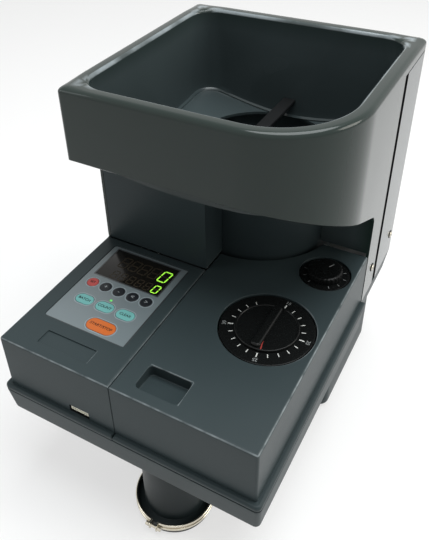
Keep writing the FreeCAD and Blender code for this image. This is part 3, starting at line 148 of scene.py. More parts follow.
def stand(name, data):
    """Puts a mesh, a lamp or a camera in the scene as an object."""
    made = bpy.data.objects.new(name, data)
    bpy.context.scene.collection.objects.link(made)
    return made


def mesh_piece(name, shells, sharp=32):
    """One object from several skins, smooth where its faces meet at less than the sharp angle."""
    corners, faces, start = [], [], 0
    for points, loops in shells:
        corners.append(points)
        faces += [[corner + start for corner in loop] for loop in loops]
        start += len(points)
    mesh = bpy.data.meshes.new(name)
    mesh.from_pydata((np.concatenate(corners) * MM).tolist(), [], faces)
    mesh.shade_smooth()
    mesh.set_sharp_from_angle(angle=math.radians(sharp))
    return stand(name, mesh)


def carve(target, cutters=(), added=(), sharp=32):
    """Joins the added skins to an object and cuts the cutter skins out of it, and keeps the result."""
    tools = [(mesh_piece("added", [shell]), "UNION") for shell in added]
    tools += [(mesh_piece("cutter", [shell]), "DIFFERENCE") for shell in cutters]
    for tool, operation in tools:
        step = target.modifiers.new(operation.lower(), "BOOLEAN")
        step.operation, step.object, step.solver = operation, tool, "EXACT"
    bpy.context.view_layer.update()
    graph = bpy.context.evaluated_depsgraph_get()
    carved = bpy.data.meshes.new_from_object(target.evaluated_get(graph))
    target.modifiers.clear()
    target.data = carved
    carved.shade_smooth()
    carved.set_sharp_from_angle(angle=math.radians(sharp))
    for tool, _ in tools:
        bpy.data.objects.remove(tool)
    level = target.modifiers.new("flat_faces", "WEIGHTED_NORMAL")
    level.keep_sharp = True


class Wire:
    """A socket in a node tree; arithmetic on wires adds Math nodes."""

    def __init__(self, nodes, socket):
        self.nodes, self.socket = nodes, socket

    def math(self, operation, *other):
        return self.nodes.node("ShaderNodeMath", {"operation": operation}, dict(enumerate((self, *other))))

    def __add__(self, other):
        return self.math("ADD", other)

    def __sub__(self, other):
        return self.math("SUBTRACT", other)

    def __mul__(self, other):
        return self.math("MULTIPLY", other)

    def __abs__(self):
        return self.math("ABSOLUTE")


class Nodes:
    """A node tree. A node is added with its settings and its inputs' values, and gives back a wire."""

    def __init__(self, tree):
        self.tree = tree

    def node(self, kind, settings, inputs, output=0):
        made = self.tree.nodes.new(kind)
        for word, value in settings.items():
            setattr(made, word, value)
        for socket, value in inputs.items():
            self.feed(made.inputs[socket], value)
        return Wire(self, made.outputs[output])

    def feed(self, socket, value):
        if isinstance(value, Wire):
            self.tree.links.new(value.socket, socket)
        else:
            socket.default_value = value

    def straight_rays(self):
        """One for rays straight from the camera, off a gloss or through a clear piece, else nought."""
        rays = self.node("ShaderNodeLightPath", {}, {}).socket.node.outputs
        polished = Wire(self, rays["Is Glossy Ray"]) + Wire(self, rays["Is Transmission Ray"])
        return self.node("ShaderNodeMath", {"operation": "ADD", "use_clamp": True},
                         {0: polished, 1: Wire(self, rays["Is Camera Ray"])})


class Finish(Nodes):
    """One material with a Principled shader. A socket's name is written with underscores, and
    constants go on the sockets themselves."""

    def __init__(self, name, **constants):
        self.material = bpy.data.materials.new(name)
        self.material.use_nodes = True
        super().__init__(self.material.node_tree)
        self.shader = self.tree.nodes["Principled BSDF"]
        self.set(**constants)

    def set(self, **values):
        for word, value in values.items():
            socket = word.replace("_", " ").title().replace("Ior", "IOR")
            self.feed(self.shader.inputs[socket], value)
        return self

    def places(self):
        return self.node("ShaderNodeTexCoord", {}, {}, "Object")

    def axes(self):
        split = self.node("ShaderNodeSeparateXYZ", {}, {0: self.places()}).socket.node
        return [Wire(self, split.outputs[axis]) for axis in range(3)]

    def within(self, value, ends):
        away = abs(value - (ends[0] + ends[1]) / 2 * MM)
        return away.math("LESS_THAN", (ends[1] - ends[0]) / 2 * MM)

    def ramp(self, value, span, ends=(0.0, 1.0), kind="LINEAR"):
        return self.node("ShaderNodeMapRange", {"interpolation_type": kind},
                         {"Value": value, 1: span[0], 2: span[1], 3: ends[0], 4: ends[1]})

    def noise(self, scale, detail=2.0, rough=0.5):
        return self.node("ShaderNodeTexNoise", {}, {"Vector": self.places(), "Scale": scale,
                                                    "Detail": detail, "Roughness": rough}, "Fac")

    def mix(self, share, first, second):
        return self.node("ShaderNodeMix", {"data_type": "RGBA"}, {0: share, 6: first, 7: second}, 2)

    def bump(self, height, strength, depth):
        return self.node("ShaderNodeBump", {}, {"Height": height, "Strength": strength, "Distance": depth})

    def handled(self, rough):
        """A broad cloud, and a roughness that varies with it and with fine specks."""
        cloud, speck = self.noise(9.0, 3.0), self.noise(260.0, 4.0, 0.6)
        return cloud, cloud * 0.10 + speck * 0.06 + (rough - 0.08)

    def grain(self, strength):
        return self.bump(self.noise(1900.0, 2.0), strength, 0.0002)


def tint(colour, factor):
    return (*(part * factor for part in colour), 1.0)


def moulded(name, colour, rough, grain, coat=0.0, dust=0.06, shine=0.15):
    """Moulded plastic: a faint cloud in the tone, a fine grain, and a roughness that handling varies."""
    made = Finish(name, coat_weight=coat, coat_roughness=0.06, specular_ior_level=shine)
    cloud, spread = made.handled(rough)
    tone = made.mix(cloud, tint(colour, 1 - dust), tint(colour, 1 + dust))
    return made.set(base_color=tone, roughness=spread, normal=made.grain(grain)).material


def ink(name, colour, rough=0.5):
    """Printing ink: even and almost without grain."""
    return moulded(name, colour, rough, 0.02)


def dress(piece, material, slot=None, stands_for=(), body="machine"):
    """Gives a piece its material, puts a piece made here on its body when a slot is named, and hides the
    nodes it stands for.
    """
    piece.data.materials.clear()
    piece.data.materials.append(material)
    if slot:
        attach(piece, body)
    if stands_for:
        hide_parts(*stands_for)


SLATE = (0.028, 0.040, 0.043)
base_grey = moulded("tray_abs", tint(SLATE, 0.95)[:3], 0.42, 0.16)
TUBE_AT = (25.7, -148.625)


def tray_length(out, y, drafts):
    """Skin of one drafted length of the tub: the section shrinks on its way down to the floor."""
    side, lean_front, lean_back = drafts

    def loop(height, grow):
        fall = (LIP_LOW - height) / (LIP_LOW - TUB_FLOOR)
        return ring((-out + side * fall, out - side * fall),
                    (y[0] + lean_front * fall, y[1] - lean_back * fall), TUB_CORNER, height, grow)

    return skin(edge_down(loop, TUB_FLOOR, 3.0) + [loop(105.0, 0), loop(114.0, 0)]
                + edge_up(loop, LIP_LOW, 0.8, 3))


BODY_OUT, TUB_CORNER, HOLLOW_LOW = 128.0, 5.0, 112
tray = mesh_piece("base_tub", [tray_length(LIP_OUT, (LIP_FRONT, COVER_BACK), (2.0, 4.0, 0.0))])
tube_bore = rod(TUBE_AT, 31.2, (80, HOLLOW_LOW))
tub_hollow = skin([ring((-127, 127), (-182, 70), 4, HOLLOW_LOW), ring((-129, 129), (-186, 74), 4, 121)])
carve(tray, cutters=[tube_bore, tub_hollow],
      added=[tray_length(BODY_OUT, (56.075, BACK), (4.0, 0.0, 4.0))])
dress(tray, base_grey, "base_grey", ["base_tray"])

# PEDESTAL AND FEET
# A deep box of the same plastic that lifts the machine so that a bag can hang in front of it. Four
# soft black rubber feet are pressed into its floor.
PEDESTAL_X, PEDESTAL_Y, PEDESTAL_CORNER = (-118.5, 118.5), (20.075, 162.075), 12
FOOT_HEIGHT = 4.0
pedestal = mesh_piece("pedestal_box", [
    soft_block(PEDESTAL_X, PEDESTAL_Y, PEDESTAL_CORNER, (FOOT_HEIGHT, TUB_FLOOR), (3.0, 0.5), (5, 3),
               between=(20, 45, 70))])
dress(pedestal, base_grey, "base_grey", ["pedestal"])

rubber = moulded("foot_rubber", (0.014, 0.014, 0.015), 0.82, 0.3)
FOOT = [(9.5, 0), (11.2, 0.25), (12.2, 1.0), (13.0, 2.6), (13.0, FOOT_HEIGHT)]
feet = [turned((x, y), FOOT, 72, wrap=False) for x in (-100.5, 100.5) for y in (38.075, 144.075)]
dress(mesh_piece("feet", feet), rubber, "rubber_black", ["rubber_feet"])

# WORKS INSIDE
# Zinc-plated chassis, turned shafts, pulleys, belts, motors and boards. They show only through the
# slots and with the coin cover lifted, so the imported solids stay, each with the finish of its stock.


def metal(name, colour, rough, brush=0.0):
    """Plain metal: a faint cloud in tone and roughness, and brushing that runs across the piece."""
    made = Finish(name, metallic=1.0)
    cloud = made.noise(30.0, 4.0)
    stretched = made.node("ShaderNodeMapping", {}, {"Vector": made.places(), "Scale": (40.0, 40.0, 900.0)})
    streak = made.node("ShaderNodeTexNoise", {}, {"Vector": stretched, "Scale": 2.0}, "Fac")
    return made.set(base_color=made.mix(cloud, tint(colour, 0.88), tint(colour, 1.08)),
                    roughness=cloud * 0.14 + streak * brush + (rough - 0.07),
                    normal=made.bump(streak, 0.12, 0.0001)).material


zinc = metal("zinc_plate", (0.56, 0.57, 0.56), 0.38, 0.08)
nickel = metal("bright_nickel", (0.60, 0.56, 0.47), 0.12, 0.03)
alloy = metal("turned_alloy", (0.36, 0.36, 0.355), 0.42, 0.12)
bronze = metal("sintered_bronze", (0.42, 0.27, 0.13), 0.42)
black_plastic = moulded("black_abs", (0.011, 0.0115, 0.012), 0.42, 0.10)
belt_black = moulded("belt_rubber_black", (0.013, 0.013, 0.013), 0.78, 0.35)
belt_green = moulded("belt_green", (0.03, 0.13, 0.07), 0.62, 0.25)
board_green = moulded("board_laminate", (0.012, 0.075, 0.036), 0.35, 0.05, coat=0.4)
motor_black = moulded("motor_enamel", (0.018, 0.018, 0.02), 0.36, 0.08, coat=0.3)
core_steel = metal("core_laminations", (0.30, 0.29, 0.28), 0.52, 0.18)
for finish, names in (
        (zinc, "chassis_plate cover_hinge roller_brackets stop_solenoid bearing_bridge thickness_gate "
               "fixed_rail"),
        (alloy, "feed_disc disc_pulley motor_pulley dial_scroll diameter_fence drive_roller idler_roller"),
        (nickel, "disc_shaft stop_plunger"), (bronze, "disc_bearing"), (belt_black, "drive_belt"),
        (belt_green, "transport_belt"), (motor_black, "main_motor transport_motor coin_sensor"),
        (core_steel, "transformer"), (board_green, "display_board power_board")):
    for name in names.split():
        dress(nodes[name], finish)

# COIN TUBE AND BAG CLAMP
# The coins leave through a moulded tube with a collar at its lower end. A nickel-plated band with
# rolled edges is drawn round the collar by a screw through its two lugs, to hold a bag's neck.
tube_grey = moulded("tube_abs", tint(SLATE, 0.5)[:3], 0.36, 0.06)
tube = mesh_piece("tube_with_collar", [turned(TUBE_AT, [
    (27.0, 1.6), (27.6, 1.0), (36.2, 1.0), (36.8, 1.3), (37.0, 2.0), (37.0, 11.0), (36.8, 11.7),
    (36.2, 12.0), (31.0, 12.0), (30.3, 12.3), (30.0, 13.0), (30.0, 60.0), (30.0, 110.0), (30.0, 154.0),
    (32.6, 154.0), (32.6, 157.0), (27.0, 157.0), (27.0, 110.0), (27.0, 60.0)])])
dress(tube, tube_grey, "base_grey", ["coin_tube"])
BAND_Z, BAND_IN, BAND_THICK = (7.0, 15.0), 37.05, 0.8


def band_strip(section):
    """Skin of a strip round the collar, open at the lugs: the section's radii and heights swept round."""
    gap = math.radians(4.0)
    sweep = np.linspace(-math.pi / 2 + gap, 1.5 * math.pi - gap, 120)
    return skin(list(np.stack([TUBE_AT[0] + np.outer(np.cos(sweep), section[:, 0]),
                               TUBE_AT[1] + np.outer(np.sin(sweep), section[:, 0]),
                               np.broadcast_to(section[:, 1], (len(sweep), len(section)))], -1)))


BEAD, BEAD_AT = 1.35, BAND_IN + 0.75
beads = [np.array([BEAD_AT, z]) + BEAD * circle(14) for z in (BAND_Z[0] + BEAD, BAND_Z[1] - BEAD)]
web = np.array([(BAND_IN, BAND_Z[0] + BEAD), (BAND_IN + BAND_THICK, BAND_Z[0] + BEAD),
                (BAND_IN + BAND_THICK, BAND_Z[1] - BEAD), (BAND_IN, BAND_Z[1] - BEAD)])
LUG_Y, LUG_APART, LUG_THICK = (-191.5, -185.0), 2.5, 2.2
lugs = [soft_block((x, x + LUG_THICK), LUG_Y, 0.9, BAND_Z, (0.5, 0.5), arc=4, side=2)
        for x in (TUBE_AT[0] - LUG_APART - LUG_THICK, TUBE_AT[0] + LUG_APART)]
band = mesh_piece("clamp_band", [band_strip(section) for section in beads + [web]] + lugs)
dress(band, nickel, "nickel", ["bag_clamp"])
dress(nodes["clamp_screw"], nickel)

# CONTROL COVER
# The left half of the lower casing, one satin moulding with a ledge round its foot. The deck has a
# shallow recess for the key panel, a label recess at the front, and a slot for a service connector.
SEAM, SEAM_HALF = -8.3, 0.25
DIAL_AT, DIAL_HOLE = (78.9, -62.125), 44.6
EDGE_IN, CORNER, SQUARE, WELL_LOW = 0.65, 2.5, 0.6, 175
INSIDE_OUT, INSIDE_FRONT, LEG_BACK = 124.9, -181.9, 115.075
POCKET_X, POCKET_Y = (9.9, 51.5), (-173.525, -147.325)
LABEL_X, LABEL_Y = (-94.3, -39.7), (-172.5, -156.7)


def worn_cover():
    """Satin cover plastic: the moulded base, with painted highlights, paler and smoother, along the deck's
    edges, the seam, the lit edges of the pocket and the label recess, and the right half of the dial's rim.
    Each edge is a line in space, and the painted highlight fades within a millimetre of it."""
    made = Finish("cover_abs", specular_ior_level=0.16)
    x, y, z = made.axes()
    top = abs(z - (DECK - EDGE_IN) * MM)

    def near(value, at, wide):
        away = abs(value - at * MM) + top
        return made.ramp(away, (0.2 * wide * MM, wide * MM), (1.0, 0.0), "SMOOTHSTEP")

    # Painted highlights: pale lines where the rounded edges catch the light; on the dial's rim only the lit
    # right half gets one.
    lines = [near(y, FRONT + EDGE_IN, 1.5), near(x, BODY_OUT - EDGE_IN, 1.5),
             near(x, EDGE_IN - BODY_OUT, 1.5), near(x, SEAM, 1.6),
             near(y, POCKET_Y[1] + 0.4, 1.4) * made.within(x, POCKET_X),
             near(x, POCKET_X[1] + 0.4, 1.4) * made.within(y, POCKET_Y),
             near(x, LABEL_X[1] + 0.3, 1.3) * made.within(y, LABEL_Y)]
    from_x, from_y = x - DIAL_AT[0] * MM, y - DIAL_AT[1] * MM
    from_dial = (from_x * from_x + from_y * from_y).math("SQRT")
    lit_half = made.ramp(from_x, (0.012, 0.036))
    sheen_and_wear = near(from_dial, DIAL_HOLE + 0.3, 1.5) * lit_half
    for line in lines:
        sheen_and_wear = sheen_and_wear.math("MAXIMUM", line)
    painted_sheen = sheen_and_wear * made.ramp(made.noise(70.0, 3.0, 0.6), (0.34, 0.62), (0.15, 1.0))
    cloud, spread = made.handled(0.39)
    tone = made.mix(cloud, tint(SLATE, 0.94), tint(SLATE, 1.07))
    return made.set(base_color=made.mix(painted_sheen * 0.85, tone, (0.24, 0.27, 0.28, 1)),
                    roughness=spread - painted_sheen * 0.08, normal=made.grain(0.16)).material


cover_grey = worn_cover()
LEFT_X, COVER_Y = (-BODY_OUT, SEAM - SEAM_HALF), (FRONT, -16.9)


def hollow_box(x, y, low, corner, edge=2.2, wall=3.0):
    """Skin of a box open below: its ceiling and inner walls, its foot, and its outside with a soft edge."""
    inside_x, inside_y = (x[0] + wall, x[1] - wall), (y[0] + wall, y[1] - wall)
    return skin([ring(inside_x, inside_y, 1.0, z) for z in (DECK - wall, low)]
                + [ring(x, y, corner, z) for z in (low, low + 8, DECK - 12)]
                + edge_up(lambda h, g: ring(x, y, corner, h, g), DECK, edge, 6))


def ledge(x, low, corner):
    """Skin of the ledge round the foot: a plate whose outer edge is rounded above and below."""
    return soft_block(x, (LIP_FRONT, 76.0), corner, (low, LIP_TOP), (1.6, 2.6), (5, 5))


def flared(loop, z, flare):
    """Skin of a cutter for a recess: straight sides that flare out where they meet the deck."""
    return skin([loop(z, 0.0), loop(DECK - flare, 0.0)]
                + [loop(DECK - flare * (1 - math.sin(a)), flare * (1 - math.cos(a)))
                   for a in np.linspace(0.3, math.pi / 2, 4)] + [loop(DECK + 2, flare)])


def pit(x, y, corner, z, flare=0.5):
    return flared(lambda h, g: ring(x, y, corner, h, g), z, flare)


def well(middle, radius, flare=0.7):
    return flared(lambda h, g: disc(middle, radius + g, h, 120), WELL_LOW, flare)


PANEL_X, PANEL_Y = (-111.4, -21.3), (-142.825, -26.625)
WINDOW_X, WINDOW_Y = (-104.0, -30.8), (-72.625, -31.025)
SLOT_X, SLOT_Z = (-57.4, -35.4), (126.4, 135.0)
control = mesh_piece("control_moulding", [
    hollow_box(LEFT_X, COVER_Y, LIP_LOW, (CORNER, SQUARE, SQUARE, SQUARE))])
tower_side = soft_top((-BODY_OUT, -125), (-17.2, LEG_BACK), 0.4, (LIP_LOW, DECK), 0.6)
carve(control,
      added=[ledge((-LIP_OUT, LEFT_X[1]), LIP_LOW, (TUB_CORNER, SQUARE, SQUARE, SQUARE)), tower_side],
      cutters=[prism((-INSIDE_OUT, SEAM + 2), (INSIDE_FRONT, 77.0), 0.5, (LIP_LOW - 2, 182.9)),
               pit(PANEL_X, PANEL_Y, 4.0, 184.7, 0.3), pit(LABEL_X, LABEL_Y, 1.5, DECK - 1.3),
               prism(SLOT_X, (FRONT - 2, FRONT + 5), 0.4, SLOT_Z),
               prism(WINDOW_X, WINDOW_Y, 0.5, (180, DECK))])
dress(control, cover_grey, "cover_grey", ["control_cover"])

# SERVICE CONNECTOR
# A cream nylon plug header that stands in the slot of the front face, with a row of dark sockets. A
# near-black frame round it in the slot is painted shade, standing for the shadow in the gap.
cream = moulded("cream_nylon", (0.80, 0.78, 0.66), 0.45, 0.05)
slot_shade_black = moulded("slot_shade_finish", (0.003, 0.003, 0.003), 0.7, 0.05, shine=0.05)
HEADER_Z = (128.9, 134.0)
header = mesh_piece("service_header", [
    soft_block((-56.4, -36.4), (-183.9, -173.9), 0.5, HEADER_Z, (0.4, 0.4), arc=4)])
sockets = [prism((x - 0.8, x + 0.8), (-186, -178), 0.1, (130.6, 132.2), 2, 2)
           for x in np.linspace(-53.9, -38.9, 7)]
carve(header, cutters=sockets)
dress(header, cream, "cream_plastic", ["front_connector"])
# Painted shade: a near-black frame that fills the slot round the header where the gap is in shadow.
shade_frame = mesh_piece("header_slot_shade", [prism((-57.2, -35.6), (-184.4, -182.6), 0.2, (126.5, 134.9), 3, 2)])
carve(shade_frame, cutters=[prism((-56.5, -36.3), (-186, -181), 0.2, (128.8, 134.1), 3, 2)])
dress(shade_frame, slot_shade_black, "black_plastic")

# KEY PANEL
# A printed polyester film in the recess: pale blue-grey with a dark border. The smoked window, the
# lamp and the nine rubber-backed key caps come up through it.
KEYS = {f"round_key_{i + 1}": (-97.9 + 15.55 * i, -84.925, 5.85, 5.85) for i in range(5)}
KEYS.update({f"oval_key_{i + 1}": (-90.2 + 23.4 * i, -108.425, 9.5, 6.0) for i in range(3)})
KEYS["start_key"] = (-54.8, -130.825, 15.0, 7.35)


def key_ring(key, z, grow=0.0):
    x, y, wide, deep = KEYS[key]
    return ring((x - wide, x + wide), (y - deep, y + deep), deep * 0.995, z, grow, 12, 3)


def printed_film():
    """Film print: the pale field, a dark line inside the edge, and a darker keyline round the window."""
    made = Finish("film_print", coat_weight=0.25, coat_roughness=0.2)
    x, y, _ = made.axes()
    field = (made.within(x, (PANEL_X[0] + 0.6, PANEL_X[1] - 1.5))
             * made.within(y, (PANEL_Y[0] + 0.9, PANEL_Y[1] - 0.9)))
    dark = (made.within(x, (WINDOW_X[0] - 1.4, WINDOW_X[1] + 1.4))
            * made.within(y, (WINDOW_Y[0] - 1.4, WINDOW_Y[1] + 1.4)))
    cloud = made.noise(14.0)
    pale = made.mix(cloud, (0.120, 0.149, 0.160, 1), (0.145, 0.177, 0.188, 1))
    edged = made.mix(field, (0.016, 0.019, 0.021, 1), pale)
    colour = made.mix(dark, edged, (0.03, 0.033, 0.036, 1))
    return made.set(base_color=colour, roughness=cloud * 0.12 + 0.36,
                    normal=made.bump(made.noise(1400.0), 0.08, 0.0001)).material


FILM_TOP, THROUGH_FILM, LAMP_AT = 185.5, (184, 187), (-66.6, -98.325)
film = mesh_piece("panel_overlay", [soft_top(PANEL_X, PANEL_Y, 4.0, (184.72, FILM_TOP), 0.25, inset=0.15)])
carve(film, cutters=[skin([key_ring(key, z, 0.3) for z in THROUGH_FILM]) for key in KEYS]
      + [prism(WINDOW_X, WINDOW_Y, 0.5, THROUGH_FILM), rod(LAMP_AT, 1.5, THROUGH_FILM, 24)])
dress(film, printed_film(), "panel_print", ["panel_film"])

FLANGE_Z, CAP_EDGE, CAP_TOP = (181.7, 182.7), 185.85, 185.9
for tone, colour, keys in (("red", (0.40, 0.065, 0.06), ["round_key_1"]),
                           ("orange", (0.50, 0.12, 0.026), ["start_key"]),
                           ("black", (0.010, 0.012, 0.015), [f"round_key_{i}" for i in range(2, 6)]),
                           ("cyan", (0.14, 0.37, 0.355), [f"oval_key_{i}" for i in range(1, 4)])):
    cap_finish = moulded(f"cap_{tone}", colour, 0.42, 0.06, coat=0.15)
    for key in keys:
        flange = [key_ring(key, z, 1.0) for z in FLANGE_Z]
        sides = [key_ring(key, z) for z in (FLANGE_Z[1], 185.3)]
        crown = edge_up(lambda z, g, k=key: key_ring(k, z, g), CAP_EDGE, 0.55)
        cap = mesh_piece(f"{key}_cap", [skin(flange + sides + crown + [key_ring(key, CAP_TOP, -2.2)])])
        dress(cap, cap_finish, f"key_{tone}", [key], key)

pale_ink = ink("pale_ink", (0.27, 0.31, 0.33))
INK_TOP = 185.54
OUTLINE = ((FILM_TOP, 1.45), (INK_TOP, 1.45), (INK_TOP, 0.75), (FILM_TOP, 0.75))
outlines = [skin([key_ring(key, z, out) for z, out in OUTLINE], wrap=True) for key in KEYS]
dress(mesh_piece("key_outlines", outlines), pale_ink, "panel_print")


def flat_words(name, words, middle, height, z, turn=0.0):
    """Plain words or figures as a flat mesh, centred on a spot and turned about the vertical."""
    text = bpy.data.curves.new(name, "FONT")
    text.body, text.size, text.extrude, text.offset = words, height * MM, 0.00003, 0.00006
    text.align_x, text.align_y, text.space_line = "CENTER", "CENTER", 0.85
    maker = bpy.data.objects.new(name, text)
    made = stand(name, bpy.data.meshes.new_from_object(maker))
    bpy.data.objects.remove(maker)
    spot = Vector((middle[0] * MM, middle[1] * MM, z * MM))
    made.data.transform(Matrix.Translation(spot) @ Matrix.Rotation(math.radians(turn), 4, "Z"))
    return made


dark_ink = ink("dark_ink", (0.004, 0.005, 0.005), 0.6)
grey_ink = ink("grey_ink", (0.30, 0.32, 0.33))
legends = [("start_key", "START/STOP", 4.3, dark_ink), ("round_key_1", "SET", 4.0, dark_ink)]
legends += [(f"oval_key_{i + 1}", ("BATCH", "COUNT", "CLEAR")[i], 4.2, dark_ink) for i in range(3)]
legends += [(f"round_key_{i + 2}", "+-<>"[i], 6.5, grey_ink) for i in range(4)]
for key, words, height, tone in legends:
    legend = flat_words(f"{key}_legend", words, KEYS[key][:2], height, CAP_TOP + 0.02)
    dress(legend, tone, "panel_print", body=key)

lamp_glow = Finish("lamp_green_lens", roughness=0.25, emission_strength=0.35,
                   emission_color=(0.30, 0.62, 0.08, 1))
lamp_glow.set(base_color=lamp_glow.mix(lamp_glow.noise(40.0), (0.05, 0.55, 0.12, 1), (0.08, 0.65, 0.16, 1)))
LENS = ((1.42, 176), (1.42, FILM_TOP), (1.1, 185.9), (0.5, 186.1))
lens = mesh_piece("panel_lamp", [turned(LAMP_AT, LENS, 24, wrap=False)])
dress(lens, lamp_glow.material, "lamp_green", ["indicator_lamp"])

# DISPLAY
# A smoked acrylic window over two rows of light-emitting digits. The unlit bars show faintly, and a
# single nought is lit in each row.
smoked = Finish("smoked_acrylic", coat_weight=0.2, coat_roughness=0.03, specular_ior_level=0.2)
smoke = smoked.noise(22.0)
smoked.set(base_color=smoked.mix(smoke, (0.0055, 0.005, 0.004, 1), (0.009, 0.0075, 0.006, 1)),
           roughness=smoke * 0.1 + 0.12)
pane = mesh_piece("smoked_pane", [soft_top(WINDOW_X, WINDOW_Y, 0.5, (183.0, FILM_TOP), 0.3, inset=0.1)])
dress(pane, smoked.material, "smoked_glass", ["display_window"])
dress(nodes["led_digits"], black_plastic)

MIDDLE_BAR = (0, 0.5, 1, 0.5)
BARS = [(0, 1, 1, 1), MIDDLE_BAR, (0, 0, 1, 0),
        (0, 0.5, 0, 1), (0, 0, 0, 0.5), (1, 0.5, 1, 1), (1, 0, 1, 0.5)]


def digit_bars(low, high, bars, half, slant=0.11):
    """Skins of a digit's bars: each a flat six-sided strip between two corners of the figure eight."""
    shells = []
    low, high = np.array(low), np.array(high)
    for bar in bars:
        a, b = low + (high - low) * bar[:2], low + (high - low) * bar[2:]
        along = (b - a) / np.linalg.norm(b - a)
        across = np.array([-along[1], along[0]]) * half
        a, b = a + along * 0.25, b - along * 0.25
        flat = np.array([a, a + along * half - across, b - along * half - across, b,
                         b - along * half + across, a + along * half + across])
        flat[:, 0] += (flat[:, 1] - low[1]) * slant
        shells.append(skin([lift(flat, z) for z in (FILM_TOP, FILM_TOP + 0.03)]))
    return shells


lit, unlit = [], []
for count, row_low, row_high, wide, right, pitch, half_bar in (
        (5, -53.6, -38.6, 8.6, -34.0, 11.75, 0.68), (6, -70.6, -60.2, 6.0, -33.4, 9.6, 0.56)):
    for number in range(count):
        high_x = right - pitch * number - 1.2
        low, high = (high_x - wide, row_low), (high_x, row_high)
        unlit += digit_bars(low, high, BARS if number else [MIDDLE_BAR], half_bar)
        if number == 0:
            lit += digit_bars(low, high, [bar for bar in BARS if bar != MIDDLE_BAR], half_bar)
ghost = ink("unlit_bars", (0.030, 0.024, 0.016), 0.35)
dress(mesh_piece("unlit_bars", unlit), ghost, "smoked_glass")
glow = Finish("lit_bars", roughness=0.4, emission_strength=1.0, base_color=(0.3, 0.5, 0.02, 1))
glow.set(emission_color=glow.mix(glow.noise(60.0), (0.26, 0.80, 0.05, 1), (0.36, 0.92, 0.08, 1)))
dress(mesh_piece("lit_bars", lit), glow.material, "lamp_green")

# COIN COVER
# The right half of the lower casing. It lifts on a hinge under the hopper, by a finger pocket at its
# front edge, and has round openings for the two dials. Its back edge is cut round the feed drum.
RIGHT_X, RIGHT_Y = (SEAM + SEAM_HALF, BODY_OUT), (FRONT, COVER_BACK)
THICK_AT, DRUM_AT = (98.7, 31.975), (-5.0, 102.075)
POCKET_LOW, POCKET_RISE, POCKET_CORNER = DECK - 12.0, 3.0, 4.5
COIN_LOW = 120.4


def pocket_solid(grow, top):
    """Skin of the finger pocket: a tub with round corners whose floor rises a little to the front."""
    def loop(height, out):
        level = ring(POCKET_X, POCKET_Y, POCKET_CORNER, height, out, 6)
        level[:, 2] += POCKET_RISE * (POCKET_Y[1] - level[:, 1]) / (POCKET_Y[1] - POCKET_Y[0])
        return level

    walls = edge_down(lambda z, g: loop(z, g + grow), POCKET_LOW - grow, 1.5, 4)
    return skin(walls + [ring(POCKET_X, POCKET_Y, POCKET_CORNER, top, grow, 6)])


coin_cover = mesh_piece("coin_moulding", [
    hollow_box(RIGHT_X, RIGHT_Y, COIN_LOW, (SQUARE, CORNER, SQUARE, SQUARE))])
carve(coin_cover,
      added=[ledge((RIGHT_X[0], LIP_OUT), COIN_LOW, (SQUARE, TUB_CORNER, SQUARE, SQUARE)),
             pocket_solid(2.0, DECK - 1.5)],
      cutters=[prism((SEAM - 2, INSIDE_OUT), (INSIDE_FRONT, 79.0), 0.5, (118, 171.0)),
               pocket_solid(0.0, DECK + 0.6), pit(POCKET_X, POCKET_Y, POCKET_CORNER, DECK - 1.0, 0.7),
               well(DIAL_AT, DIAL_HOLE), well(THICK_AT, 25.3),
               rod(DRUM_AT, 90.5, (110, 190), 160)])
dress(coin_cover, cover_grey, "cover_grey", ["coin_cover"], "coin_cover")
HINGE_X, HINGE_AT = (84.0, 118.0), (77.075, 178.0)
EYE_OUT, EYE_BORE = 4.0, 2.05
barrel, faces = turned(HINGE_AT, [(EYE_OUT, HINGE_X[0]), (EYE_OUT, HINGE_X[1]), (EYE_BORE, HINGE_X[1]),
                                  (EYE_BORE, HINGE_X[0])], 32)
hinge_eye = mesh_piece("hinge_eye", [(barrel[:, [2, 0, 1]], faces),
                                     prism(HINGE_X, (68.5, 75.5), 0.3, (174.2, 183.5), 3, 3)])
dress(hinge_eye, cover_grey, "cover_grey", body="coin_cover")

# DIAMETER DIAL
# A fixed black plate in the deck with a printed scale of coin diameters, and a low round knob with a
# finger bar across it. A red line on the knob points at the set diameter.
dial_black = moulded("dial_black", (0.0045, 0.005, 0.005), 0.28, 0.04, shine=0.16)
white_ink = ink("white_ink", (0.52, 0.53, 0.51))
faint_ink = ink("faint_ink", (0.20, 0.21, 0.21))
red_ink = ink("red_ink", (0.26, 0.035, 0.03), 0.45)
PLATE_LOW, PLATE_TOP, POST_Z = 183.2, 185.2, (160.0, 184.0)
plate = mesh_piece("scale_plate", [turned(DIAL_AT, [
    (4.1, PLATE_LOW), (42.6, PLATE_LOW), (43.4, 183.6), (43.4, 184.6), (43.1, 185.0), (42.5, PLATE_TOP),
    (30.0, PLATE_TOP), (4.1, PLATE_TOP)], 120)])
carve(plate, added=[rod(polar(DIAL_AT, 40.8, angle), 2.5, POST_Z, 20) for angle in (-100, 0, 100)])
dress(plate, dial_black, "black_plastic", ["diameter_dial"])


def mark(middle, angle, reach, half, z, rise=0.05):
    """Skin of one printed line along a radius."""
    out = np.array(polar((0.0, 0.0), 1.0, angle))
    across = np.array([-out[1], out[0]]) * half
    near, far = out * reach[0], out * reach[1]
    flat = np.array([near - across, far - across, far + across, near + across]) + np.array(middle)
    return skin([lift(flat, height) for height in (z, z + rise)])


